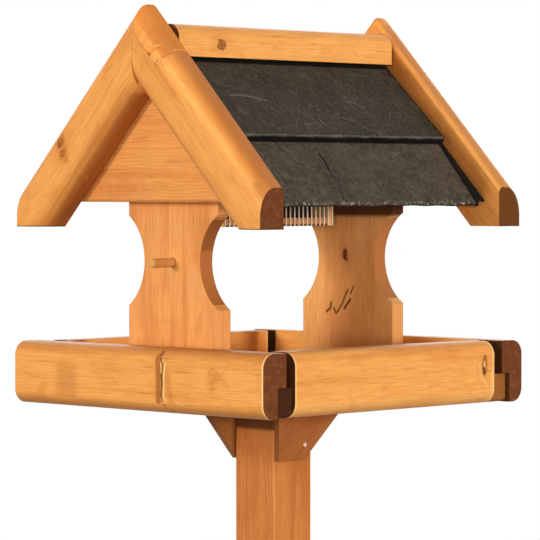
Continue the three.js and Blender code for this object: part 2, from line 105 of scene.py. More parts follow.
class TimberSettings(bpy.types.PropertyGroup):
    """Stain colours of the timber and the size of its grain"""
    rail_colour: colour("Rails", "Stain on the round-edged rails and rafters", (0.91, 0.4, 0.095))
    board_colour: colour("Boards", "Stain on the uprights and gable boards", (0.845, 0.372, 0.108))
    post_colour: colour("Post", "Stain on the post and its foot", (0.66, 0.24, 0.056))
    bracket_colour: colour("Brackets", "Stain on the brackets and bearers", (0.4, 0.13, 0.03))
    dowel_colour: colour("Dowel", "Stain on the perch and the basket's wood", (0.64, 0.31, 0.095))
    end_colour: colour("End grain", "Stain soaked into sawn ends", (0.165, 0.047, 0.0135))
    # Also the colour of painted shadow in slots and under overhangs
    deep_colour: colour("Deep stain", "Stain pooled in slots and notches", (0.034, 0.0075, 0.0028))
    ring_width: length("Ring width", "Distance between two growth rings", 0.0046, 0.0005)
    ring_contrast: share("Ring contrast", "How dark the late wood is", 0.36)
    grain_depth: length("Grain depth", "Height of the grain in the surface", 0.0002)
    arris_ease: length("Eased arris", "Rounding of the sanded arrises", 0.0018)
    # Scales how much the arrises are painted lighter, as painted highlight and rubbed-off stain, or
    # darker where a piece asks for it
    arris_strength: share("Worn arris", "How far the stain is sanded off the arrises", 0.55)
    roughness: share("Roughness", "Roughness of the stained surface", 0.52)


class SlateSettings(bpy.types.PropertyGroup):
    """Colours and relief of the slates and the felt under them"""
    slate_colour: colour("Slate", "Face of a slate", (0.034, 0.0256, 0.0174))
    mark_colour: colour("Marks", "Scratches and fresh flakes", (0.16, 0.145, 0.12))
    felt_colour: colour("Felt", "Roofing felt", (0.01, 0.009, 0.008))
    riven_depth: length("Riven depth", "Relief of the split face", 0.0008)
    # Width of the painted shade along a slate's sides and top
    dressed_width: length("Dressed width", "Chamfer broken off along the lower edge", 0.0032)
    edge_shade_width: length("Grime width", "Soot along the other edges", 0.0035)
    slate_roughness: share("Roughness", "Roughness of the slate", 0.58)


class MetalSettings(bpy.types.PropertyGroup):
    """Wire mesh of the nut basket, and the screws"""
    # Tinted gold, as painted light and reflection from the wood around the basket
    wire_colour: colour("Wire", "Galvanised wire", (0.97, 0.82, 0.6))
    # Near-black wire of the fine left panel, as painted shade inside the basket
    shade_wire_colour: colour("Dark wire", "Blackened wire of the fine mesh", (0.02, 0.017, 0.014))
    wire_size: length("Wire size", "Diameter of a wire", 0.002, 0.0003)
    wire_sides: IntProperty(name="Wire sides", description="Facets round a wire", default=8, min=3)
    # Lightened and warmed as a painted glint
    screw_colour: colour("Screw", "Dulled screw head", (0.78, 0.56, 0.4))


class StageSettings(bpy.types.PropertyGroup):
    """Camera, lamps and floor"""
    camera_place: FloatVectorProperty(name="Camera", description="Where the camera stands",
                                      subtype="TRANSLATION", unit="LENGTH",
                                      default=(2.54972, -2.61944, 1.41404))
    camera_azimuth: angle("Azimuth", "How far round from the front", 44.29)
    camera_dip: angle("Dip", "How far the camera looks down", 1.62)
    lens: number("Lens", "Focal length in millimetres", 200, 1)
    floor_radius: length("Floor radius", "Half the width of the round floor", 4, 1)
    floor_colour: colour("Floor", "Pale floor", (0.82, 0.82, 0.82))
    front_strength: number("Front lamp", "Lights the perch's side", 1.6)
    right_strength: number("Right lamp", "Lights the right-hand side", 1.75)
    corner_strength: number("Corner lamp", "Fills from the near corner", 1.2)
    rear_strength: number("Rear lamp", "Fills the rear and the left", 1.2)
    top_strength: number("Top lamp", "Fills from above", 0.3)
    sky_strength: number("Surround", "Strength of the soft surround", 0.3)


# Node trees

class Wiring:
    """Adds nodes to a tree. A value given for an input may be another node's output."""

    def __init__(self, tree):
        self.tree = tree

    def give(self, node, inputs):
        for key, value in inputs.items():
            socket = node.inputs[key]
            if isinstance(value, bpy.types.NodeSocket):
                self.tree.links.new(value, socket)
            elif socket.type == "RGBA":
                socket.default_value = (*value[:3], 1)
            else:
                socket.default_value = value

    def add(self, kind, inputs=None, **settings):
        node = self.tree.nodes.new(kind)
        for key, value in settings.items():
            setattr(node, key, value)
        self.give(node, inputs or {})
        return node

    def maths(self, operation, *values):
        inputs = dict(enumerate(values))
        return self.add("ShaderNodeMath", inputs, operation=operation).outputs[0]

    def run(self, operation, first, *others):
        """One operation carried through several values"""
        for other in others:
            first = self.maths(operation, first, other)
        return first

    def times(self, *values):
        return self.run("MULTIPLY", *values)

    def plus(self, *values):
        return self.run("ADD", *values)

    def highest(self, *values):
        return self.run("MAXIMUM", *values)

    def vectors(self, operation, *values):
        node = self.add("ShaderNodeVectorMath", dict(enumerate(values)), operation=operation)
        return node.outputs["Value" if operation in ("LENGTH", "DISTANCE", "DOT_PRODUCT") else 0]

    def parts(self, vector):
        return self.add("ShaderNodeSeparateXYZ", {0: vector}).outputs

    def ramp(self, value, low, high, start=0, end=1):
        """Smooth step from start to end while value goes from low to high"""
        inputs = {"Value": value, "From Min": low, "From Max": high, "To Min": start, "To Max": end}
        return self.add("ShaderNodeMapRange", inputs, interpolation_type="SMOOTHSTEP").outputs[0]

    def noise(self, place, scale, detail=2, roughness=0.5, distortion=0):
        inputs = {"Vector": place, "Scale": scale, "Detail": detail, "Roughness": roughness,
                  "Distortion": distortion}
        return self.add("ShaderNodeTexNoise", inputs).outputs[0]

    def blend(self, amount, first, second, way="MIX"):
        inputs = {0: amount, 6: first, 7: second}
        return self.add("ShaderNodeMix", inputs, data_type="RGBA", blend_type=way).outputs[2]

    def raised(self, height, distance, **more):
        inputs = {"Height": height, "Distance": distance, **more}
        return self.add("ShaderNodeBump", inputs).outputs[0]

    def true_normal(self):
        return self.add("ShaderNodeNewGeometry").outputs["True Normal"]


def toned(rgb, *shares):
    """A colour whose red, green and blue are taken times three shares, or all times one"""
    return tuple(part * much for part, much in zip(rgb, shares if len(shares) > 1 else shares * 3))


def group(name, inputs, outputs, build):
    """The node group of this name. When it is first asked for, it is made with the sockets that
    are named for each kind, and built inside."""
    tree = bpy.data.node_groups.get(name)
    if tree:
        return tree
    tree = bpy.data.node_groups.new(name, "ShaderNodeTree")
    for way, sockets in (("INPUT", inputs), ("OUTPUT", outputs)):
        for kind, labels in sockets.items():
            for label in labels:
                tree.interface.new_socket(label, in_out=way, socket_type="NodeSocket" + kind)
    w = Wiring(tree)
    w.give(w.add("NodeGroupOutput"), build(w, w.add("NodeGroupInput").outputs))
    return tree


def build_knot(w, given):
    """One knot. The distance from its centre, shortened along the grain and made uneven by
    noise, gives a dark heart, a darker rim and a push on the growth rings around it."""
    apart = w.vectors("SUBTRACT", given["Place"], given["Centre"])
    shorten = w.add("ShaderNodeCombineXYZ", {0: w.maths("DIVIDE", 1, given["Reach"]),
                                             1: 1, 2: 1}).outputs[0]
    flat = w.vectors("LENGTH", w.vectors("MULTIPLY", apart, shorten))
    uneven = w.maths("MULTIPLY_ADD", w.noise(given["Place"], 220, 3), 1.1, 0.45)
    far = w.maths("DIVIDE", flat, w.times(given["Size"], uneven))
    rim = w.times(w.ramp(far, 0.6, 0.9), w.ramp(far, 1.35, 1, 0, 0.95))
    return {"Heart": w.ramp(far, 1.25, 0.5), "Around": w.ramp(far, 4.5, 0.6),
            "Rim": w.highest(rim, w.ramp(far, 0.45, 0.2, 0, 0.9))}


def build_timber(w, given):
    """Stained softwood in a piece's own place: X runs along the grain and the heart of the tree
    lies on the X axis. The growth rings are the distance from that axis, widened towards one
    end, bent by slow noise and pushed aside by knots. Fine fibres and slow stain patches come
    from noise drawn out along the grain. Sawn ends, whose faces look along the grain, soak
    up more stain."""
    place, dark, end = given["Place"], given["Dark"], given["End"]

    def drawn(squeeze, *noise):
        """Noise drawn out along the grain"""
        return w.noise(w.vectors("MULTIPLY", place, (squeeze, 1, 1)), *noise)

    x, y, z = w.parts(place)
    across = w.maths("SQRT", w.plus(w.maths("POWER", y, 2), w.maths("POWER", z, 2)))
    bend = w.plus(w.times(drawn(0.16, 14), 0.018), w.times(drawn(0.38, 24, 1), 0.011))
    waver = w.times(drawn(0.22, 75), 0.0042)
    radius = w.plus(across, bend, w.plus(waver, w.times(x, 0.018)))
    turns = w.maths("DIVIDE", w.plus(radius, w.times(given["Around"], 0.011)), given["Ring Width"])
    phase = w.maths("FRACT", turns)
    year = w.add("ShaderNodeTexWhiteNoise", {"W": w.maths("FLOOR", turns)},
                 noise_dimensions="1D").outputs[0]
    rings = w.times(w.ramp(phase, 0.05, 0.85), w.ramp(phase, 1, 0.86),
                    w.ramp(drawn(0.2, 34), 0.32, 0.62, 0.25, 1),
                    w.maths("MULTIPLY_ADD", year, 0.8, 0.2))
    fibre = drawn(0.03, 900, 2, 0.6)
    pores = w.ramp(drawn(0.05, 520, 1), 0.62, 0.76)
    streaks = drawn(0.05, 95)
    patches = drawn(0.35, 20, 3, 0.55)
    blotches = drawn(0.55, 42, 3, 0.6, 0.3)

    facing = w.maths("ABSOLUTE", w.vectors("DOT_PRODUCT", w.true_normal(), given["Along"]))
    sawn = w.ramp(facing, w.maths("SUBTRACT", given["Saw"], 0.12), w.plus(given["Saw"], 0.12))

    tint = w.blend(w.times(rings, given["Contrast"]), given["Light"], dark)
    for cover, low, high, much in ((streaks, 0.48, 0.75, 0.55), (patches, 0.45, 0.72, 0.6),
                                   (blotches, 0.52, 0.75, 0.5), (fibre, 0.35, 0.7, 0.4)):
        tint = w.blend(w.ramp(cover, low, high, 0, much), tint, dark)
    # Colour of painted shade and of stain that went on in two coats
    shade_and_double_stain = w.blend(1, dark, (0.62, 0.58, 0.6), "MULTIPLY")
    # Then pores, the knots' surroundings, painted shade with stain in two coats, painted highlights
    # with rubbed-off stain, and the knots' hearts and rims
    for cover, much, over in ((pores, 0.32, given["Knot"]), (given["Around"], 0.4, dark),
                              (given["Shade"], 0.9, shade_and_double_stain), (given["Worn"], 1, given["Bare"]),
                              (given["Heart"], 0.8, given["Knot"]), (given["Rim"], 0.85, end)):
        tint = w.blend(w.times(cover, much), tint, over)

    crossing = w.ramp(w.noise(place, 420, 3, 0.6), 0.35, 0.7, 0, 0.4)
    soak = w.times(w.plus(w.times(rings, 0.4), crossing), given["Blotch"], 0.7)
    cut = w.blend(soak, end, w.blend(1, end, (0.36, 0.32, 0.34), "MULTIPLY"))
    dry = w.ramp(w.noise(place, 130, 4, 0.65, 0.3), 0.46, 0.7, 0, 0.6)
    bleached = w.blend(1, end, (1.6, 1.7, 1.7), "MULTIPLY")
    cut = w.blend(w.times(dry, given["Blotch"]), cut, bleached)
    tint = w.blend(sawn, tint, cut)

    matt = w.times(w.highest(sawn, given["Soak"]), 0.4)
    dents = w.plus(w.times(pores, 0.4), w.times(given["Rim"], 0.8))
    # The darkest parts are painted near black, for pooled stain and for painted shadow
    return {
        "Color": w.blend(given["Soak"], tint, given["Deep"]),
        "Roughness": w.plus(w.ramp(fibre, 0.3, 0.8, -0.06, 0.08), matt, w.times(rings, -0.07)),
        "Height": w.maths("SUBTRACT", w.plus(w.times(rings, 0.45), w.times(fibre, 0.5)), dents)}


KNOT = ("knot", {"Vector": ("Place", "Centre"), "Float": ("Size", "Reach")},
        {"Float": ("Heart", "Rim", "Around")}, build_knot)
TIMBER = ("stained timber", {
    "Vector": ("Place", "Along"), "Color": ("Light", "Dark", "End", "Knot", "Deep", "Bare"),
    "Float": ("Ring Width", "Contrast", "Heart", "Rim", "Around", "Worn", "Soak", "Shade", "Saw",
              "Blotch"),
}, {"Color": ("Color",), "Float": ("Roughness", "Height")}, build_timber)


def link(name, data):
    """Puts data into the scene as an object"""
    thing = bpy.data.objects.new(name, data)
    bpy.context.scene.collection.objects.link(thing)
    return thing


def surface(name, points, *faces):
    """An object from an array of points and arrays of faces"""
    mesh = bpy.data.meshes.new(name)
    mesh.from_pydata(points.tolist(), [], [face for block in faces for face in block.tolist()])
    return link(name, mesh)


def dress(thing, material):
    """Puts one material in every slot of a piece"""
    if not thing.material_slots:
        thing.data.materials.append(material)
    for place in thing.material_slots:
        place.material = material


def new_material(name):
    """An empty material, its wiring, its main shader and a surface point's place"""
    material = bpy.data.materials.new(name)
    material.use_nodes = True
    material.node_tree.nodes.clear()
    w = Wiring(material.node_tree)
    shader = w.add("ShaderNodeBsdfPrincipled")
    w.add("ShaderNodeOutputMaterial", {"Surface": shader.outputs[0]})
    return material, w, shader, w.add("ShaderNodeTexCoord").outputs["Object"]


# Timber

def box_mm(node):
    """A solid's lowest and highest corners in millimetres"""
    return [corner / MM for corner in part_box(node)]


def grain_turn(along, lean):
    """Turn that takes X to the direction of the grain, rolled by lean round it"""
    side = along.cross(ALONG_Z if abs(along.z) < 0.9 else ALONG_X).normalized()
    turn = Matrix((along, side, along.cross(side))).transposed()
    return turn @ Matrix.Rotation(lean, 3, "X")


class Knot:
    """A knot in a piece of timber: where it shows, how wide, and how far drawn out. A blind one
    only pushes the growth rings aside."""

    def __init__(self, place, size, reach=1.3, blind=False):
        self.place, self.size = Vector(place) * MM, size * MM
        self.reach, self.blind = reach, blind


class Patch:
    """A box in which a surface has another finish, up to a share of it, with a soft edge"""

    def __init__(self, low, high, soft=0.6, amount=1):
        self.low, self.high = Vector(low) * MM, Vector(high) * MM
        self.soft, self.amount = soft * MM, amount

    def mask(self, w, place):
        """The part of max(low - place, place - high) over zero is how far a point lies outside
        the box. The mask is full at zero and nothing at the softness."""
        outside = w.vectors("MAXIMUM", w.vectors("SUBTRACT", self.low, place),
                            w.vectors("SUBTRACT", place, self.high))
        far = w.vectors("LENGTH", w.vectors("MAXIMUM", outside, (0, 0, 0)))
        return w.ramp(far, self.soft, 0, 0, self.amount)


class Trace:
    """A ragged line on a surface through some points, up to a share of it. It is full as far
    out as its core and nothing at its width."""

    def __init__(self, points, width, amount=1, core=0, shake=2, scale=120):
        self.points = [Vector(point) * MM for point in points]
        self.width, self.core, self.shake = width * MM, core * MM, shake * MM
        self.amount, self.scale = amount, scale

    def mask(self, w, place):
        """The place is shaken by noise. The nearest point of a leg is the foot of the
        perpendicular, held between the leg's two ends, and the nearest leg counts."""
        wild = w.add("ShaderNodeTexNoise", {"Vector": place, "Scale": self.scale, "Detail": 2})
        shake = w.vectors("MULTIPLY", w.vectors("SUBTRACT", wild.outputs[1], (0.5, 0.5, 0.5)),
                          (self.shake,) * 3)
        moved = w.vectors("ADD", place, shake)
        nearest = 1
        for start, end in zip(self.points, self.points[1:]):
            leg = end - start
            apart = w.vectors("SUBTRACT", moved, start)
            run = w.maths("DIVIDE", w.vectors("DOT_PRODUCT", apart, leg), leg.length_squared)
            held = w.highest(w.maths("MINIMUM", run, 1), 0)
            foot = w.add("ShaderNodeVectorMath", {0: leg, "Scale": held}, operation="SCALE")
            far = w.vectors("DISTANCE", apart, foot.outputs[0])
            nearest = w.maths("MINIMUM", nearest, far)
        return w.ramp(nearest, self.width, self.core, 0, self.amount)


def traces(axis, at, *rows):
    """Traces on a flat face that is square to an axis, which their points leave out"""
    return [Trace([(*point[:axis], at, *point[axis:]) for point in points], *rest)
            for points, *rest in rows]


def most(w, place, marks, first=0):
    """The strongest of several masks"""
    return w.highest(first, *(mark.mask(w, place) for mark in marks))


def stain(node, tint, along, heart, lean=0, knots=(), deep=(), pale=(), shade=(), end=None,
          contrast=None, ring=1, saw=0.75, up_down_shade=0, fretted=None, arris_tone=1):
    """Gives a solid its stained timber. heart is how far the heart of the tree lies from the
    middle of the piece, to its side and over it, and along is the direction of the grain. deep
    is where it is painted near black, for stain that has pooled and for painted shadow in slots
    and under overhangs; shade is where it is painted darker, for stain that went on in two coats
    and for painted shade; pale is where it is painted lighter, for rubbed-off stain and for
    painted highlights. A face is a sawn end from this much facing along the grain. The setting
    for rounded edges is how much painted shade darkens the edges that look up or down, fretted
    is the box whose edges were fretsawn, and the arris setting is how much the arrises are
    painted lighter, as rubbed-off stain and painted highlight. Below zero they are painted
    darker instead."""
    timber = bpy.context.scene.bird_table_timber
    low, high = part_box(node)
    along = along.normalized()
    turn = grain_turn(along, lean)
    centre = (low + high) / 2 + turn @ Vector((0, heart[0] * MM, heart[1] * MM))

    material, w, shader, local = new_material(node + "_timber")
    place = w.add("ShaderNodeMapping", {
        "Vector": local, "Location": centre, "Rotation": turn.to_euler(),
    }, vector_type="TEXTURE").outputs[0]

    marks = {"Heart": 0, "Rim": 0, "Around": 0}
    for knot in knots:
        found = w.add("ShaderNodeGroup", {
            "Place": place, "Centre": turn.transposed() @ (knot.place - centre),
            "Size": knot.size, "Reach": knot.reach}, node_tree=group(*KNOT)).outputs
        for label in ("Around",) if knot.blind else marks:
            marks[label] = w.highest(marks[label], found[label])

    eased = w.add("ShaderNodeBevel", {"Radius": timber.arris_ease}, samples=6).outputs[0]
    true = w.true_normal()
    # The arrises are painted lighter, as painted highlight and rubbed-off stain; where the piece's
    # arris setting is below zero they are painted darker instead
    turned = w.maths("SUBTRACT", 1, w.vectors("DOT_PRODUCT", eased, true))
    arris = w.times(w.ramp(turned, 0.03, 0.2, 0, timber.arris_strength * abs(arris_tone)),
                    w.ramp(w.noise(local, 170), 0.3, 0.7, 0.4, 1))
    lightened, held = (arris, 0) if arris_tone > 0 else (0, arris)

    shade_and_double_stain = most(w, local, shade)
    # Painted shade on the rounded edges that look up or down, heavier on those that look down
    if up_down_shade:
        level = w.parts(eased)[2]
        shade_and_double_stain = w.highest(shade_and_double_stain, w.ramp(level, 0.12, 0.75, 0, up_down_shade * 0.85),
                          w.ramp(level, -0.12, -0.75, 0, up_down_shade * 1.35))
    if fretted:
        side = w.maths("ABSOLUTE", w.parts(true)[1])
        shade_and_double_stain = w.highest(shade_and_double_stain, w.times(fretted.mask(w, local), w.ramp(side, 0.8, 0.2)))

    wood = w.add("ShaderNodeGroup", {
        "Place": place, "Along": along, "Ring Width": timber.ring_width * ring,
        "Contrast": timber.ring_contrast if contrast is None else contrast,
        "Light": tint, "Dark": toned(tint, 0.72, 0.54, 0.42), "End": end or timber.end_colour,
        "Knot": toned(tint, 0.34, 0.2, 0.16), "Deep": timber.deep_colour,
        "Bare": toned(tint, 1.08, 1.6, 2.6), "Worn": most(w, local, pale, lightened),
        "Soak": most(w, local, deep, held), "Shade": shade_and_double_stain, "Saw": saw,
        "Blotch": 0.2 if end else 1, **marks,
    }, node_tree=group(*TIMBER)).outputs
    w.give(shader, {
        "Base Color": wood["Color"], "Roughness": w.plus(wood["Roughness"], timber.roughness),
        "Normal": w.raised(wood["Height"], timber.grain_depth, Normal=eased),
        "Specular IOR Level": WOOD_SHEEN})
    dress(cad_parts[node], material)


# Slate and felt

def slate_material(name, slope, tone=1, chips=1, marks=(), cracks_and_shadows=()):
    """Riven slate: layered noise on the split face, scratches, pale flakes along the dressed
    edge where the flake attribute is high, and painted shade along the edges and on the
    underside, from a point attribute. Marks, and the dark splits and painted shadows, are given
    down the slope from the ridge and along it."""
    slate = bpy.context.scene.bird_table_slate
    material, w, shader, place = new_material(name)
    flake, grime = (w.add("ShaderNodeAttribute", attribute_name=label).outputs["Fac"]
                    for label in ("flake", "grime"))
    ridge = Vector((0, 0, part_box("rafter_front_left")[1].z))
    laid = w.add("ShaderNodeCombineXYZ", {
        0: w.vectors("DOT_PRODUCT", w.vectors("SUBTRACT", place, ridge), slope),
        1: w.parts(place)[1], 2: 0}).outputs[0]

    cloud = w.noise(place, 60, 4, 0.66, 0.5)
    sand = w.noise(place, 520, 3, 0.7)
    scratched = 0
    for squeeze, size, bent in ((0.35, 46, 0), (1.6, 30, 2.5)):
        lines = w.noise(w.vectors("MULTIPLY", laid, (1, squeeze, 1)), size, 2, 0.55, bent)
        thin = w.ramp(w.maths("ABSOLUTE", w.maths("SUBTRACT", lines, 0.5)), 0.009, 0.001)
        some = w.ramp(w.noise(place, size * 0.8), 0.42, 0.62)
        broken = w.ramp(w.noise(place, 240), 0.36, 0.6)
        scratched = w.highest(scratched, w.times(thin, some, broken))
    flecks = w.ramp(w.noise(place, 420, 2, 0.7), 0.62, 0.78)
    lightened = w.times(flake, w.ramp(w.noise(place, 230, 2, 0.6), 0.48, 0.62),
                   w.ramp(w.noise(place, 26, 1), 0.42, 0.56, 0.4, 1), chips)
    # Dark splits and painted shadows, joined by painted shade along the slate's edges
    cracked_and_shaded = most(w, laid, cracks_and_shadows)
    dark = w.highest(cracked_and_shaded, w.times(grime, 0.95))

    base, mark = toned(slate.slate_colour, tone), slate.mark_colour
    tint = w.blend(w.ramp(w.noise(place, 16, 3), 0.3, 0.7), toned(base, 0.78, 0.84, 0.8),
                   toned(base, 1.35, 1.3, 1.3))
    for cover, low, high, much in ((cloud, 0.48, 0.7, 0.7),
                                   (w.noise(place, 210, 3, 0.65), 0.5, 0.72, 0.6),
                                   (sand, 0.5, 0.75, 0.4)):
        tint = w.blend(w.ramp(cover, low, high, 0, much), tint, toned(base, 2.4))
        tint = w.blend(w.ramp(cover, low, 1 - high, 0, much), tint, toned(base, 0.4))
    for cover, over in ((w.times(scratched, 0.6), mark), (w.times(flecks, 0.22), mark),
                        (lightened, toned(mark, 2.8, 2.8, 2.7)), (most(w, laid, marks), mark),
                        (dark, toned(base, 0.14, 0.14, 0.16))):
        tint = w.blend(cover, tint, over)

    relief = w.plus(w.times(cloud, 0.8), w.times(sand, 0.25))
    w.give(shader, {
        "Base Color": tint, "Specular IOR Level": STONE_SHEEN,
        "Normal": w.raised(w.maths("SUBTRACT", relief, cracked_and_shaded), slate.riven_depth * 0.6),
        "Roughness": w.plus(w.ramp(cloud, 0.3, 0.7, -0.08, 0.1), slate.slate_roughness,
                            w.times(dark, 0.4))})
    return material


def value_noise(x, y, size, seed):
    """Smooth noise from 0 to 1: random numbers on a square lattice of this size, blended between
    their four neighbours by 3 f^2 - 2 f^3 of how far a point lies past the first of them"""
    u, v = (x - x.min()) / size, (y - y.min()) / size
    i, j = np.floor(u).astype(int), np.floor(v).astype(int)
    grid = np.random.default_rng(seed).random((i.max() + 2, j.max() + 2))
    f, g = u - i, v - j
    f, g = f * f * (3 - 2 * f), g * g * (3 - 2 * g)
    low = grid[i, j] * (1 - f) + grid[i + 1, j] * f
    high = grid[i, j + 1] * (1 - f) + grid[i + 1, j + 1] * f
    return low * (1 - g) + high * g


def node_triangles(node):
    """The corners of a solid's triangles, as an array of (triangle, corner, axis)"""
    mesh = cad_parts[node].data
    points = np.empty(len(mesh.vertices) * 3)
    mesh.vertices.foreach_get("co", points)
    corners = np.empty(len(mesh.loops), int)
    mesh.loops.foreach_get("vertex_index", corners)
    return points.reshape(-1, 3)[corners].reshape(-1, 3, 3)


def riven_slate(name, node, slope, material, seed, shade_lower_edge=0):
    """A slate split by hand, laid where its solid lies. Its outline is ruled from the solid's
    upper edge to its dressed lower edge: (1 - t) upper(s) + t lower(s), for s along the eaves
    and t down the slope. The face lies under the solid's face by noise in three sizes, of which
    the second is cut into flat steps, as slate splits, and by a ragged chamfer along the lower
    edge, which carries painted shade by a share. Painted shade also runs along the sides and the
    top and covers the underside. The underside is flat, and both sheets share the rim."""
    corners = node_triangles(node)
    area = np.cross(corners[:, 1] - corners[:, 0], corners[:, 2] - corners[:, 0])
    unit = area / np.linalg.norm(area, axis=1, keepdims=True)
    face = unit @ np.array((-slope.z * math.copysign(1, slope.x), 0, abs(slope.x))) > SAME_WAY
    up = area[face].sum(axis=0)
    up /= np.linalg.norm(up)
    down = np.cross((0, 1, 0), up)
    down *= -np.sign(down[2])
    side = np.cross(up, down)
    flat = np.unique(np.round(corners[face].reshape(-1, 3), 6), axis=0)
    u, v, level = flat @ down, flat @ side, (flat @ up).mean()
    thick = level - (corners.reshape(-1, 3) @ up).min()
    half = (u.min() + u.max()) / 2

    def edge(chosen, s):
        order = np.argsort(v[chosen])
        along, out = v[chosen][order], u[chosen][order]
        at = along[0] + s * (along[-1] - along[0])
        return np.interp(at, along, out), at

    rows, columns = SLATE_GRID
    s, t = np.meshgrid(np.linspace(0, 1, columns), np.linspace(0, 1, rows))
    top_u, top_v = edge(u < half, s)
    low_u, low_v = edge(u > half, s)
    a, b = (1 - t) * top_u + t * low_u, (1 - t) * top_v + t * low_v

    slate = bpy.context.scene.bird_table_slate
    swell = value_noise(a, b, 0.05, seed)
    broad, small = value_noise(a, b * 0.6, 0.022, seed + 1), value_noise(a, b, 0.007, seed + 2)
    layers = (0.7 * broad + 0.3 * small) * SPLIT_LAYERS
    steps = (np.floor(layers) + np.clip((layers % 1 - 0.8) / 0.2, 0, 1)) / SPLIT_LAYERS
    grit = value_noise(a, b, 0.0028, seed + 3)
    hollow = slate.riven_depth * (0.45 * swell + 0.8 * (1 - steps) + 0.12 * grit)
    bite = slate.dressed_width * (0.35 + 1.1 * value_noise(a * 0, b, 0.006, seed + 4))
    near = np.clip(1 - (low_u - a) / bite, 0, 1)
    chips = value_noise(a * 3, b, 0.004, seed + 5)
    hollow = np.minimum(hollow + near * thick * (0.25 + 0.35 * chips), 0.7 * thick)
    flake = near * (hollow < 0.5 * thick)
    rim = np.minimum(np.minimum(s, 1 - s) * np.ptp(v), (a - top_u))
    # Painted shade along the sides and the top, and along the dressed lower edge where the slate
    # asks for it
    grime = np.maximum(np.clip(1 - rim / slate.edge_shade_width, 0, 1),
                       shade_lower_edge * np.clip(8 * near - 7, 0, 1))

    def sheet(depth):
        return (a[..., None] * down + b[..., None] * side
                + (level - depth)[..., None] * up).reshape(-1, 3)

    points = np.concatenate([sheet(hollow), sheet(np.full_like(a, thick))])
    count = rows * columns
    here = np.arange(count).reshape(rows, columns)
    quads = np.stack([here[:-1, :-1], here[1:, :-1], here[1:, 1:], here[:-1, 1:]], axis=-1)
    quads = quads.reshape(-1, 4)
    ring = np.concatenate([here[0, :-1], here[:-1, -1], here[-1, :0:-1], here[:0:-1, 0]])
    after = np.roll(ring, -1)
    walls = np.stack([ring, after, after + count, ring + count], axis=1)
    piece = mesh_piece(name, points, (quads, quads[:, ::-1] + count, walls), material)
    piece.data.set_sharp_from_angle(angle=SHARP_ARRIS)
    # The underside is painted wholly in shade
    for label, values, under in (("flake", flake, 0), ("grime", grime, 1)):
        layer = piece.data.attributes.new(label, "FLOAT", "POINT")
        both = np.concatenate([values.reshape(-1), np.full(count, under)])
        layer.data.foreach_set("value", both)
    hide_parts(node)


def felt_material():
    """Bitumen felt: nearly black, with fine mineral grit that stands up and glints"""
    base = bpy.context.scene.bird_table_slate.felt_colour
    material, w, shader, place = new_material("roofing_felt")
    grit = w.noise(place, 1400, 2, 0.7)
    tint = w.blend(w.ramp(grit, 0.5, 0.75), base, toned(base, 3.2, 3.1, 2.9))
    tint = w.blend(w.ramp(w.noise(place, 30), 0.5, 0.8, 0, 0.5), tint,
                   toned(base, 2, 1.9, 1.8))
    w.give(shader, {"Base Color": tint, "Roughness": w.ramp(grit, 0.3, 0.8, 0.95, 0.7),
                    "Normal": w.raised(grit, 0.0006), "Specular IOR Level": STONE_SHEEN})
    return material


# Metal

def metal_material(name, tint, roughness, dull, metallic):
    """Dulled zinc: metal whose colour and roughness wander with slow noise"""
    material, w, shader, place = new_material(name)
    spots = w.noise(place, 340, 3, 0.6)
    w.give(shader, {
        "Base Color": w.blend(w.ramp(spots, 0.35, 0.75), tint, toned(tint, *dull)),
        "Roughness": w.ramp(spots, 0.3, 0.8, roughness - 0.08, roughness + 0.16),
        "Normal": w.raised(spots, 0.0001), "Metallic": metallic})
    return material


def rods(starts, ends, radius, sides):
    """Straight round rods. A rod's surface is its centre line plus the radius turned once round
    it: start + t (end - start) + radius (cos a u + sin a v), for t in 0..1 and a in 0..2 pi,
    with one point at each end to close it. All rods are worked out together."""
    starts, ends = np.asarray(starts, float), np.asarray(ends, float)
    run = ends - starts
    run /= np.linalg.norm(run, axis=1, keepdims=True)
    u = np.cross(run, np.array([1, 0, 0]))
    u /= np.linalg.norm(u, axis=1, keepdims=True)
    v = np.cross(run, u)
    around = np.linspace(0, 2 * np.pi, sides, endpoint=False)
    ring = radius * (np.cos(around)[None, :, None] * u[:, None, :]
                     + np.sin(around)[None, :, None] * v[:, None, :])
    points = np.concatenate([
        starts[:, None, :] + ring, ends[:, None, :] + ring, starts[:, None, :], ends[:, None, :],
    ], axis=1)
    here = np.arange(sides)
    after = (here + 1) % sides
    first, last = np.full(sides, 2 * sides), np.full(sides, 2 * sides + 1)
    walls = np.stack([here, after, after + sides, here + sides], axis=1)
    caps = np.concatenate([np.stack([after, here, first], axis=1),
                           np.stack([here + sides, after + sides, last], axis=1)])
    shift = (np.arange(len(starts)) * points.shape[1])[:, None, None]
    return (points.reshape(-1, 3), (walls[None] + shift).reshape(-1, 4),
            (caps[None] + shift).reshape(-1, 3))


def mesh_piece(name, points, faces, material):
    """A smooth piece from its points and faces, which rides on the table"""
    piece = surface(name, points, *faces)
    piece.data.update()
    piece.data.shade_smooth()
    dress(piece, material)
    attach(piece, "root")
    return piece


# Operators, one for each group of like pieces

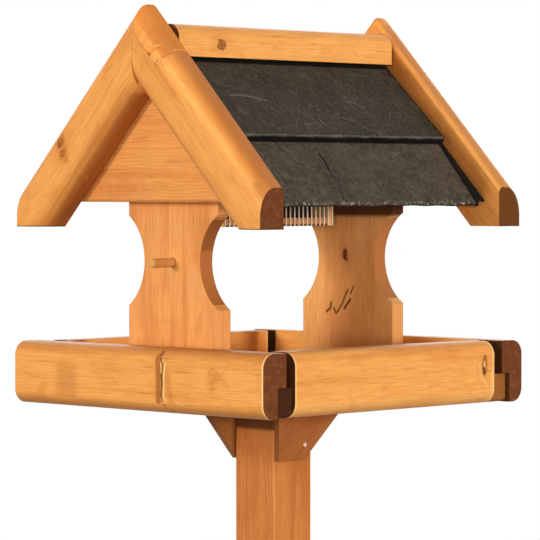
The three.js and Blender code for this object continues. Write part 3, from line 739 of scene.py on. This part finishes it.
class BIRDTABLE_OT_tray_rails(bpy.types.Operator):
    """Stains the four rails of the tray, with the grain along each rail and its knots. Each
    corner's tongue and slots are painted near black, as stain soaked into the sawn wood and as
    painted shade in the narrow slots, and the rail ends carry painted highlights"""
    bl_idname = "bird_table.tray_rails"
    bl_label = "Tray rails"

    def execute(self, context):
        tint = context.scene.bird_table_timber.rail_colour
        (left, front, base), (right, back, top) = box_mm("tray_rail_front")
        far = box_mm("tray_rail_rear")[0].y
        near_end, far_end = back + SLOT_WIDTH, far - SLOT_WIDTH

        def notches(low, high):
            """Near-black paint in an end rail's notch and on its face in the slots, for stain in
            the sawn wood and for painted shade in the slots
            """
            face = (low, low + 0.6) if low > 0 else (high - 0.6, high)
            return [mark for x0, x1 in ((right - RAIL_THICK, right + 0.5),
                                        (left - 0.5, left + RAIL_THICK))
                    for mark in (
                        Patch((x0, low, base - 1), (x1, high + 0.3, base + NOTCH_HEIGHT), 0.4,
                              0.93),
                        Patch((x0, face[0], base - 1), (x1, face[1], top + 1), 0.8, 0.96))]

        knots = [Knot((127.5, -228, 1193), 5, 0.8, blind=True), Knot((40, -224, 1219), 3.4, 0.8)]
        split = traces(
            1, front,
            ([(39.7, 1215), (45.2, 1206), (43.3, 1191.6), (44.3, 1185), (42.4, 1172),
              (45.2, 1164)], 1.9, 0.7, 0.6),
            ([(50.8, 1214), (47.1, 1208), (45.2, 1204)], 1.6, 0.5),
            ([(43.3, 1195), (44.2, 1182)], 2.4, 0.8, 0.8))
        split.append(Trace([(45, front + 2, 1160), (55, front + 8, 1153)], 1.8, 0.6, 0.4))
        lip = traces(1, front, ([(48.6, 1211), (46.7, 1190), (46.2, 1164)], 1.8, 0.85, 0.5),
                     ([(41.6, 1211), (42.2, 1198)], 1.4, 0.7, 0.3))
        lip += traces(1, front + 1, ([(67, 1164), (79, 1162)], 1.3, 0.6, 0.3))
        # Painted highlight along the front rail's right end
        lip.append(Patch((right - 2.2, front, base), (right + 1, back, top), 1.2, 0.75))
        around = traces(
            1, front, ([(37, 1216), (37.8, 1190), (37.7, 1165)], 6.5, 1, 2.5),
            ([(52, 1196), (58, 1166)], 8, 0.4),
            ([(121, 1200), (127, 1206), (136, 1200), (123, 1198), (141, 1198), (126, 1192),
              (138, 1194), (120, 1188), (129, 1190.5), (122, 1181), (130, 1183.5),
              (123, 1176)], 2.2, 0.34, 0.2))
        around.append(Patch((-130, front, 1165), (-112, front + 2, 1196), 16, 0.35))
        stain("tray_rail_front", tint, ALONG_X, (16, -52), 0.25, knots,
              split + notches(back - NOTCH_DEPTH, back + 0.3), lip, around, contrast=0.28,
              up_down_shade=0.5)
        # Painted shade along the top of the rear rail
        corner = Patch((-100, far - 1, top - 4), (right, far + 39, top + 1), 4, 0.1)
        # A lighter copy of the rail stain, as painted light on the rear rail's shaded inner face
        stain("tray_rail_rear", toned(tint, 1.06, 1.14, 1.15), ALONG_X, (-40, 30), 1.1,
              [Knot((-90, 205, 1222), 5)], notches(far - 0.3, far + NOTCH_DEPTH),
              shade=[corner], up_down_shade=0.5)

        def across(start, end, *rest):
            """A patch right across the side rails"""
            return Patch((left, start, base - 1), (right, end, top + 1), *rest)

        # The side rails' tongue faces are painted dark, as stain soaked into the sawn wood and as
        # painted shade, darkest at the near corner
        far_tongue_stain_and_shade = across(far_end + 0.2, far_end + 30, 0.5)
        tongue_stain_and_shade = [across(front, near_end - 0.2, 0.5, 0.97),
                   across(far_end + 0.2, far_end + 30, 0.5, 0.32)]
        # Painted highlights along the arrises at the side rails' ends
        end_highlights = [across(near_end, near_end + 1.4, 2.4, 0.62),
                across(far_end - 1.6, far_end, 2.6, 0.62)]
        eye = far_end - 18
        slit = traces(
            0, right,
            ([(eye + 1.1, 1207), (eye - 2.8, 1203), (eye - 5.5, 1194.5), (eye - 0.8, 1184),
              (eye + 4, 1190.6), (eye + 4, 1201), (eye + 1.1, 1207)], 1.5, 0.5, 0.4, 1.2),
            ([(eye - 1.2, 1192), (eye - 0.4, 1187)], 3.8, 0.8, 2, 1.2))
        slit.append(Trace([(right - 2, near_end + 80, 1163), (right - 8, near_end + 77, 1154),
                           (right - 14, near_end + 72, 1150)], 2.2, 0.7, 0.6))
        light = traces(
            0, right, ([(eye - 0.2, 1200), (eye - 0.2, 1195)], 1.6, 0.8, 0.4, 1.2),
            ([(eye - 3, 1179), (eye + 5, 1171)], 2.6, 0.45),
            ([(eye - 9, 1198), (eye - 5, 1180)], 4, 0.3))
        light.append(Trace([(right - 1, far_end - 3, 1188), (right - 1, far_end - 3, 1166),
                            (right - 6, far_end - 7, 1157)], 5.5, 0.4, 1.5))
        lit = base + 11
        light += traces(0, right - 2, ([(near_end, lit), (far_end, lit)], 9, 0.12, 3, 5))
        ring = traces(0, right, ([(eye + 0.8, 1206), (eye - 0.4, 1196)], 4.6, 0.8, 2))
        stain("tray_rail_right", tint, ALONG_Y, (-46, 22), 0.6,
              [Knot((right, eye, 1196), 8, 0.6, blind=True)], tongue_stain_and_shade + slit, end_highlights + light,
              [*ring, far_tongue_stain_and_shade], contrast=0.28, up_down_shade=0.05)
        stain("tray_rail_left", tint, ALONG_Y, (38, -30), 2, [Knot((-213, 20, 1190), 5)],
              tongue_stain_and_shade, end_highlights, [far_tongue_stain_and_shade], up_down_shade=0.5)
        return {"FINISHED"}


class BIRDTABLE_OT_tray_floor(bpy.types.Operator):
    """Stains the tray's floor boards and the two bearers under them"""
    bl_idname = "bird_table.tray_floor"
    bl_label = "Tray floor"

    def execute(self, context):
        timber = context.scene.bird_table_timber
        for i, heart in enumerate(((18, -40), (-30, -46), (8, 52), (-14, -38))):
            low, high = box_mm(f"floor_board_{i + 1}")
            spot = (low.x * (3 - i) + high.x * (i + 1)) / 4, (low.y + high.y) / 2, high.z
            stain(f"floor_board_{i + 1}", timber.board_colour, ALONG_X, heart, 0.3 * i,
                  [Knot(spot, 4 + i)])
        stain("floor_bearer_left", timber.bracket_colour, ALONG_Y, (20, 30))
        stain("floor_bearer_right", timber.bracket_colour, ALONG_Y, (-24, 26))
        return {"FINISHED"}


class BIRDTABLE_OT_uprights(bpy.types.Operator):
    """Stains the two waisted boards, with upright grain, and the perch"""
    bl_idname = "bird_table.uprights"
    bl_label = "Uprights and perch"

    def execute(self, context):
        timber = context.scene.bird_table_timber
        tint, dowel = timber.board_colour, timber.dowel_colour
        both = {"contrast": 0.4, "saw": 0.95, "arris_tone": -0.4,
                "fretted": Patch((-100, -300, 1274.5), (100, 300, 1373.5), 0.5)}
        # Painted shadow in a line under the front gable board, and painted shade on the
        # downward-facing top of the waist's right edge
        painted_shade_under_gable = [Patch((-100, -170, 1395.5), (100, -160, 1420), 2.5, 0.9),
                       Patch((40, -163.4, 1338), (80, -140, 1376), 1.6, 0.35)]
        stain("upright_front", toned(tint, 1.05, 1.04, 1.05), ALONG_Z, (12, -60), 0.2,
              [Knot((-20, -160, 1300), 4, 1.6, blind=True)], painted_shade_under_gable, **both)

        (_, face, _), (far, _, _) = box_mm("upright_rear")
        # Painted shadow under the eaves along the top of the rear upright
        painted_shadow_under_eaves = Patch((-100, 130, 1379), (100, 160, 1420), 7, 0.9)
        splits = traces(
            1, face,
            ([(-28, 1260), (-24.5, 1253.5), (-19.6, 1257), (-13, 1266), (-9, 1274.5),
              (-4.3, 1283)], 2, 0.85, 0.4),
            ([(-9.2, 1260), (0, 1271)], 2.4, 0.85, 1),
            ([(1.1, 1279), (6, 1287.4)], 1.8, 0.8, 0.4),
            ([(-40.5, 1255), (-34.4, 1258.6), (-32, 1266)], 2.6, 0.8, 0.8),
            ([(-8.7, 1331), (-8.7, 1323)], 3.4, 0.75, 0.8))
        # Painted shade on the rear upright's right side, and faint painted shade over the part of
        # its front in the near upright's shadow
        side = [Patch((far - 0.5, 130, 1150), (far + 1, 170, 1420), 1.5, 0.35),
                Patch((-44, face - 1, 1100), (far - 6, face + 4, 1420), 5, 0.06)]
        # A lighter copy of the board stain, as painted light on the rear upright's shaded front
        stain("upright_rear", toned(tint, 1.08, 1.2, 1.3), ALONG_Z, (-26, 62), 0.1,
              [Knot((-8.7, 139, 1327.4), 4.6, 1.5), Knot((-36, 139, 1257), 5, 1.4, blind=True)],
              [*splits, painted_shadow_under_eaves], shade=side, **both)
        stain("perch", dowel, ALONG_Y, (3, 9), ring=0.6, end=toned(dowel, 1.1, 1.2, 1.3))
        return {"FINISHED"}


def roof_point(out, depth, along, side=1):
    """A point of the right-hand slope, or with side -1 of the left-hand one: out from the ridge,
    and depth below the rafters' outer line, square to it"""
    drop = math.tan(ROOF_PITCH) * out + depth / math.cos(ROOF_PITCH)
    low, high = box_mm("gable_board_front")
    return (low.x + high.x) / 2 + side * out, along, box_mm("rafter_front_left")[1].z - drop


def down_slope(outs, depth, along, *rest, side=1):
    """A trace straight down a slope, between two distances out from the ridge"""
    return Trace([roof_point(out, depth, along, side) for out in outs], *rest)


def shaded_foot(node):
    """Painted shade in a dark line along the level cut at a rafter's foot"""
    low, high = box_mm(node)
    return Patch((low.x, low.y, low.z - 1), (high.x, high.y, low.z + 0.7), 1.1, 0.75)


class BIRDTABLE_OT_rafters(bpy.types.Operator):
    """Stains the four rafters and the ridge rail, each with its grain along it. The near right
    rafter's outer rounded edge is painted darker, and the near left rafter's inner rounding and
    underside and the far rafter's inner face carry painted shade."""
    bl_idname = "bird_table.rafters"
    bl_label = "Rafters and ridge rail"

    def execute(self, context):
        tint = context.scene.bird_table_timber.rail_colour
        peak = toned(tint, 0.72, 0.55, 0.46)
        front = box_mm("rafter_front_left")[0].y
        # Painted shade on the near left rafter's inner rounding and underside, darkest at the
        # underside
        under = [down_slope((14, 180), 68, front + back, *rest, side=-1)
                 for back, *rest in ((0, 25, 0.34, 6, 8, 40), (18, 17, 0.9, 5, 5, 60),
                                     (32, 18, 1, 12))]
        smear = traces(1, front, ([(-133, 1470), (-128, 1462), (-124, 1446)], 11, 0.55, 1, 9, 70))
        nick = traces(1, front, ([(-135, 1469), (-132, 1464), (-133, 1459)], 2.2, 0.7, 0.4, 3))
        # A darker patch near the end of the block at the peak, and painted shade along the foot
        block_and_foot_darkening = [down_slope((30, 50), 0, front + 12, 24, 0.16, 2, 8, 60),
                  shaded_foot("rafter_front_left")]
        stain("rafter_front_left", tint, DOWN_LEFT_SLOPE, (20, 44), 0.4,
              [Knot((-131.7, -229, 1465), 6.6, 1.4), Knot((-127, -229, 1452), 5.4, 1.4),
               Knot((-44, -212, 1463), 3.2), Knot((-103, -212, 1420), 3.6)],
              nick + block_and_foot_darkening, shade=under + smear, end=peak, contrast=0.3, saw=0.5)

        # The outer rounded edge is painted darker towards the slates, most near the foot
        outer = [down_slope((57, 230), 0, front + 27, 29, 0.85, 8, 6, 50),
                 down_slope((196, 230), 6, front + 10, 13, 0.7, 4)]
        # Painted highlights along the rounding and along the outer edge beside the slates
        ridge = [down_slope((57, 230), 11.75, front + 4, 6, 0.1, 1),
                 down_slope((40, 230), 0, front + 38, 2.2, 0.6, 1)]
        stain("rafter_front_right", toned(tint, 0.97, 0.96, 0.96), DOWN_RIGHT_SLOPE, (-34, 26), 0.1,
              [Knot((92, -214, 1430), 3, 1.2)], [shaded_foot("rafter_front_right")], ridge,
              outer, contrast=0.3, saw=0.5)

        (_, flat, _), (foot, _, _) = box_mm("rafter_rear_left")
        # Painted shade on the far rafter's inner face, heaviest near the ridge; its outer rounded
        # edge is painted darker too
        inner = [down_slope((20, 95), 20, flat, 26, 0.95, 4, 12, 30),
                 Trace([roof_point(95, 20, flat), roof_point(172, 24, flat)], 26, 0.9, 6, 12, 30),
                 down_slope((20, 230), 0, flat + 21, 24, 0.6, 12, 8, 60),
                 Trace([roof_point(14, 12, flat), roof_point(60, 18, flat)], 16, 1, 4, 8, 60)]
        # Painted highlight along the far rafter's front arris
        arris = [down_slope((15, 230), 0, flat, 2.4, 0.75, 0.8)]
        plumb = [Patch((foot - 0.2, 180, 1350), (foot + 1, 240, 1420), 0.3, 0.82)]
        stain("rafter_rear_left", tint, DOWN_RIGHT_SLOPE, (26, 38), 1.3,
              [Knot((120, 222, 1450), 4.5)], plumb, arris, inner, end=peak, saw=0.5)
        stain("rafter_rear_right", tint, DOWN_LEFT_SLOPE, (-30, -30), 0.7,
              [Knot((-100, 222, 1480), 4)], saw=0.5)
        stain("ridge_rail", toned(tint, 1, 1.05, 1.12), ALONG_Y, (-34, 20), 0.3,
              [Knot((29, -117.6, 1580), 5.6, 1.1), Knot((10, 40, 1602), 5)], contrast=0.25,
              up_down_shade=0.3)
        return {"FINISHED"}


class BIRDTABLE_OT_gables(bpy.types.Operator):
    """Stains the gable boards, and the roof boards near black as painted shade under the slates"""
    bl_idname = "bird_table.gables"
    bl_label = "Gable and roof boards"

    def execute(self, context):
        tint = context.scene.bird_table_timber.board_colour
        stain("gable_board_front", toned(tint, 1.01, 0.97, 0.88), ALONG_X, (-8, -44), 0.35,
              contrast=0.6, ring=0.9)
        stain("gable_board_rear", tint, ALONG_X, (14, 50), 0.9, [Knot((40, 184, 1450), 5)])
        # Near-black roof boards, as painted shade under the slates
        under = toned(tint, 0.16, 0.11, 0.1)
        stain("roof_board_right", under, ALONG_Y, (20, -50))
        stain("roof_board_left", under, ALONG_Y, (-20, -46))
        return {"FINISHED"}


class BIRDTABLE_OT_post(bpy.types.Operator):
    """Stains the post, the crossed foot and its braces a redder brown, with painted shadow under
    the tray
    """
    bl_idname = "bird_table.post"
    bl_label = "Post and foot"

    def execute(self, context):
        tint = context.scene.bird_table_timber.post_colour
        # Painted shadow of the tray over the top of the post, and painted shade fading down below
        # it
        painted_shadow_under_tray = [Patch((-40, -40, 1121), (40, 40, 1180), 5, 0.8)]
        above = [Patch((-40, -40, 1100), (40, 40, 1180), 40, 0.5)]
        stain("post", tint, ALONG_Z, (-22, 34), 0.5,
              [Knot((-10, -32.5, 760), 6), Knot((32.5, 8, 520), 5)], painted_shadow_under_tray, shade=above,
              contrast=0.85, arris_tone=-0.6)
        stain("foot_bar_lower", tint, ALONG_X, (-26, 18), 0.2, [Knot((180, -31, 24), 5)])
        stain("foot_bar_upper", tint, ALONG_Y, (24, -22), 0.8, [Knot((31, -160, 26), 5)])
        for i, (side, out) in enumerate({"right": (-1, 0), "rear": (0, -1), "left": (1, 0),
                                         "front": (0, 1)}.items()):
            stain(f"foot_brace_{side}", tint, Vector((*out, 1)), (24, 20 - 12 * i), 0.4 * i)
        return {"FINISHED"}


class BIRDTABLE_OT_brackets(bpy.types.Operator):
    """Stains the two brackets dark, with the grain along their sloping edge and painted shade under
    the tray
    """
    bl_idname = "bird_table.brackets"
    bl_label = "Brackets"

    def execute(self, context):
        tint = context.scene.bird_table_timber.bracket_colour
        lean, other = math.radians(49), math.radians(41)
        tray = box_mm("tray_rail_front")[0].z
        # Painted shade under the tray over the brackets' tops
        both = {"shade": [Patch((-300, -300, tray - 12), (300, 300, tray + 100), 22, 0.8)],
                "contrast": 0.6, "arris_tone": -1}
        stain("bracket_right", tint, Vector((0, math.sin(lean), math.cos(lean))), (18, -20), 0.3,
              **both)
        stain("bracket_left", toned(tint, 0.7, 0.8, 0.8),
              Vector((0, -math.sin(other), math.cos(other))), (-18, -24), 0.7, **both)
        return {"FINISHED"}


class BIRDTABLE_OT_slates(bpy.types.Operator):
    """Finishes the four riven slates and the felt under them"""
    bl_idname = "bird_table.slates"
    bl_label = "Slates and felt"

    def execute(self, context):
        ridge = box_mm("rafter_front_left")[1].z
        low, high = box_mm("slate_upper_right")
        lap = DOWN_RIGHT_SLOPE.dot(Vector((high.x, 0, low.z - ridge)))
        # Painted shadow under the ridge rail and under the lap of the upper slate, and a pale line
        # near the upper slate's lower edge
        shadow_under_rail, shadow_under_lap, fresh = (
            Trace([(down, -200, 0), (down, 200, 0)], *rest)
            for down, *rest in ((62, 8.5, 0.98, 6.5, 1.5), (lap - 5.2, 5.4, 0.98, 3.6),
                                (lap - 4.8, 2.6, 0.6, 1.2)))
        # Dark splits in the slates; the wide band at the far side is painted shade in the gap
        # beside the far rafter
        broken, *cracks_and_gap_shade = traces(
            2, 0, ([(70, 171), (79, 168), (84, 172)], 1.6, 0.9, 0.5),
            ([(218, -61), (231, -61), (246, -64)], 1.7, 0.97, 0.7),
            ([(246, -64), (266, -64), (293, -74)], 1.3, 0.8, 0.3, 3),
            ([(198, 170), (300, 160)], 5, 0.97, 3))
        scratches = traces(
            2, 0, ([(128, -148), (127, -130), (130, -112), (135, -93)], 1.3, 0.75, 0.4),
            ([(124, -140), (126, -118), (131, -100)], 1, 0.5, 0.2),
            ([(132, 47), (137, 61), (144, 71)], 1.2, 0.6, 0.4),
            ([(118, 63), (127, 64), (137, 61)], 1, 0.5, 0.2),
            ([(163, -26), (171, -26), (176, -22)], 1.2, 0.6, 0.4),
            ([(159, 3), (165, 22), (169, 32)], 1.2, 0.4, 0.3),
            ([(167, -64), (187, -83)], 1, 0.4, 0.2),
            ([(150, -50), (166, -38), (182, -33)], 1, 0.5, 0.2),
            ([(178, -58), (172, -36), (184, -14)], 0.9, 0.5, 0.2),
            ([(160, 30), (178, 40), (190, 66)], 0.9, 0.4, 0.2),
            ([(95, 74), (120, 84), (138, 108)], 0.9, 0.35, 0.2),
            ([(168, 96), (150, 112), (154, 130)], 0.9, 0.4, 0.2))
        lower = traces(2, 0, ([(222, 63), (215, 83)], 1.2, 0.45, 0.4),
                       ([(235, 10), (248, 40)], 1, 0.35, 0.3),
                       ([(270, -150), (276, -128)], 1.1, 0.4, 0.3))
        laid = (("upper_right", 4, 0.95, 0.35, [*scratches, fresh], [shadow_under_rail, broken]),
                ("lower_right", 11, 1.52, 1, lower, [*cracks_and_gap_shade, shadow_under_lap]),
                ("upper_left", 23, 1, 0.35, [fresh], [shadow_under_rail]),
                ("lower_left", 37, 1.4, 1, (), [shadow_under_lap]))
        for which, seed, *look in laid:
            slope = DOWN_RIGHT_SLOPE if which.endswith("right") else DOWN_LEFT_SLOPE
            finish = slate_material(f"slate_{which}_face", slope, *look)
            riven_slate(f"riven_slate_{which}", f"slate_{which}", slope, finish, seed,
                        which.startswith("upper"))
        felt = felt_material()
        for side in ("right", "left"):
            dress(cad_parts["roof_felt_" + side], felt)
        return {"FINISHED"}


class BIRDTABLE_OT_nut_basket(bpy.types.Operator):
    """Stains the nut basket's wood and builds its two panels of welded wire, the fine near-black
    left one standing in for the shade inside the basket
    """
    bl_idname = "bird_table.nut_basket"
    bl_label = "Nut basket"

    def execute(self, context):
        tint = context.scene.bird_table_timber.dowel_colour
        low, high = box_mm("basket_floor")
        edge = Vector((1, 1, 1))
        # Painted shadow along the bottom edge of the basket floor
        rim = Patch(low - edge, Vector((high.x, high.y, low.z + 0.8)) + edge, 0.8, 0.9)
        stain("basket_floor", toned(tint, 0.9, 0.8, 0.9), ALONG_Y, (12, -14), deep=[rim], ring=0.6)
        # The basket's ends take a paler copy of the dowel stain, as painted light for their shaded
        # place under the roof
        pale = toned(tint, 1.35, 1.7, 1.9)
        stain("basket_end_front", pale, ALONG_Z, (14, 12), ring=0.6)
        stain("basket_end_rear", pale, ALONG_Z, (-14, 12), ring=0.6)

        metal = context.scene.bird_table_metal
        radius = metal.wire_size / 2
        # The right panel's wire is tinted gold, as painted light and reflection from the wood
        # around it
        wire = metal_material("galvanised_wire", metal.wire_colour, 0.5, (0.86, 0.82, 0.76), 0)
        # The fine, near-black left panel stands in for the shade inside the basket
        dark = metal_material("blackened_wire", metal.shade_wire_colour, 0.5, (0.6,), 0.15)
        for side, sign, uprights, levels, shown, thin, finish in (
                ("right", 1, 27, 4, 2, 1, wire), ("left", -1, 73, 31, 31, 0.85, dark)):
            low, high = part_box("basket_mesh_" + side)
            outer, inner = (high.x, low.x)[::sign]
            upright_x, level_x = outer - sign * radius, inner + sign * radius
            ys = np.linspace(low.y + radius, high.y - radius, uprights)
            zs = np.linspace(high.z - radius, low.z + radius, levels)[:shown]
            starts = [(upright_x, y, low.z) for y in ys] + [(level_x, low.y, z) for z in zs]
            ends = [(upright_x, y, high.z) for y in ys] + [(level_x, high.y, z) for z in zs]
            points, *faces = rods(starts, ends, radius * thin, metal.wire_sides)
            panel = mesh_piece("basket_wires_" + side, points, faces, finish)
            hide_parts("basket_mesh_" + side)
        return {"FINISHED"}


class BIRDTABLE_OT_screws(bpy.types.Operator):
    """Finishes the two bracket screws in dulled zinc, lightened and warmed as a painted glint"""
    bl_idname = "bird_table.screws"
    bl_label = "Screws"

    def execute(self, context):
        tint = context.scene.bird_table_metal.screw_colour
        zinc = metal_material("dull_zinc", tint, 0.42, (0.7, 0.6, 0.5), 0.3)
        for side in ("right", "left"):
            dress(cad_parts["bracket_screw_" + side], zinc)
        return {"FINISHED"}


class BIRDTABLE_OT_stage(bpy.types.Operator):
    """Sets the camera, the soft lamps, the white surround and the pale round floor"""
    bl_idname = "bird_table.stage"
    bl_label = "Stage"

    def execute(self, context):
        stage = context.scene.bird_table_stage
        add_camera(stage)
        for name, bearing, height, width in (
                ("front", -8, 9, 12), ("right", 92, 3.5, 7), ("corner", 42, 1.5, 10),
                ("rear", 222, 20, 50), ("top", 20, 75, 60)):
            add_sun(name + "_lamp", bearing, height, getattr(stage, name + "_strength"), width)
        set_world(stage)
        add_floor(stage)
        context.scene.view_settings.view_transform = "Standard"
        return {"FINISHED"}


def add_camera(stage):
    data = bpy.data.cameras.new("camera")
    data.lens = stage.lens
    data.sensor_width = SENSOR_WIDTH
    camera = link("camera", data)
    camera.location = stage.camera_place
    camera.rotation_euler = (math.radians(90) - stage.camera_dip, 0, stage.camera_azimuth)
    bpy.context.scene.camera = camera


def add_sun(name, bearing, height, power, width):
    """A soft lamp far off: bearing round from the front, height above level and apparent width,
    all in degrees"""
    data = bpy.data.lights.new(name, "SUN")
    data.energy = power
    data.angle = math.radians(width)
    lamp = link(name, data)
    lamp.rotation_euler = (math.radians(90 - height), 0, math.radians(bearing))


def sees_background(w):
    """One for the rays of the camera, of gloss and of clear material, to which the background
    is plain white"""
    rays = w.add("ShaderNodeLightPath").outputs
    return w.highest(rays["Is Glossy Ray"], rays["Is Transmission Ray"], rays["Is Camera Ray"])


def set_world(stage):
    """Soft white light for the object, and plain white where the camera looks past it"""
    world = bpy.data.worlds.new("surround")
    bpy.context.scene.world = world
    world.use_nodes = True
    world.node_tree.nodes.clear()
    w = Wiring(world.node_tree)
    light, plain = (w.add("ShaderNodeBackground", {"Color": (1, 1, 1), "Strength": power})
                    for power in (stage.sky_strength, 1))
    both = w.add("ShaderNodeMixShader", {0: sees_background(w), 1: light.outputs[0],
                                         2: plain.outputs[0]})
    w.add("ShaderNodeOutputWorld", {"Surface": both.outputs[0]})


def add_floor(stage):
    """A round floor: radius times (cos a, sin a), flat on the ground, with one middle point"""
    around = np.linspace(0, 2 * np.pi, FLOOR_SIDES, endpoint=False)
    rim = np.stack([np.cos(around), np.sin(around), np.zeros(FLOOR_SIDES)], axis=1)
    points = np.concatenate([rim * stage.floor_radius, np.zeros((1, 3))])
    here = np.arange(FLOOR_SIDES)
    faces = np.stack([here, np.roll(here, -1), np.full(FLOOR_SIDES, FLOOR_SIDES)], axis=1)
    floor = surface("floor", points, faces)
    material, w, shader, place = new_material("pale_floor")
    base, seen = stage.floor_colour, sees_background(w)
    tint = w.blend(w.noise(place, 3), base, toned(base, 0.98))
    w.give(shader, {"Base Color": w.blend(seen, toned(base, FLOOR_BOUNCE), tint), "Roughness": 0.9,
                    "Specular IOR Level": 0, "Emission Color": (1, 1, 1),
                    "Emission Strength": w.times(seen, FLOOR_GLOW)})
    dress(floor, material)


class BIRDTABLE_PT_panel(bpy.types.Panel):
    """Lists the settings and the steps of the bird table"""
    bl_idname = "BIRDTABLE_PT_panel"
    bl_label = "Bird table"
    bl_space_type = "VIEW_3D"
    bl_region_type = "UI"
    bl_category = "Bird table"

    def draw(self, context):
        for kind, label in SETTINGS:
            box = self.layout.box()
            box.label(text=kind.__doc__)
            settings = getattr(context.scene, label)
            for field in kind.__annotations__:
                box.prop(settings, field)
        for step in STEPS:
            self.layout.operator(step.bl_idname)


SETTINGS = (
    (TimberSettings, "bird_table_timber"),
    (SlateSettings, "bird_table_slate"),
    (MetalSettings, "bird_table_metal"),
    (StageSettings, "bird_table_stage"),
)

STEPS = (
    BIRDTABLE_OT_stage,
    BIRDTABLE_OT_tray_rails,
    BIRDTABLE_OT_tray_floor,
    BIRDTABLE_OT_uprights,
    BIRDTABLE_OT_rafters,
    BIRDTABLE_OT_gables,
    BIRDTABLE_OT_post,
    BIRDTABLE_OT_brackets,
    BIRDTABLE_OT_slates,
    BIRDTABLE_OT_nut_basket,
    BIRDTABLE_OT_screws,
)


def register():
    for kind, label in SETTINGS:
        bpy.utils.register_class(kind)
        setattr(bpy.types.Scene, label, PointerProperty(type=kind))
    for step in STEPS:
        bpy.utils.register_class(step)
    bpy.utils.register_class(BIRDTABLE_PT_panel)


def unregister():
    bpy.utils.unregister_class(BIRDTABLE_PT_panel)
    for step in reversed(STEPS):
        bpy.utils.unregister_class(step)
    for kind, label in reversed(SETTINGS):
        delattr(bpy.types.Scene, label)
        bpy.utils.unregister_class(kind)


def main():
    register()
    for step in STEPS:
        getattr(bpy.ops.bird_table, step.bl_idname.split(".")[1])()


if __name__ == "__main__":
    main()
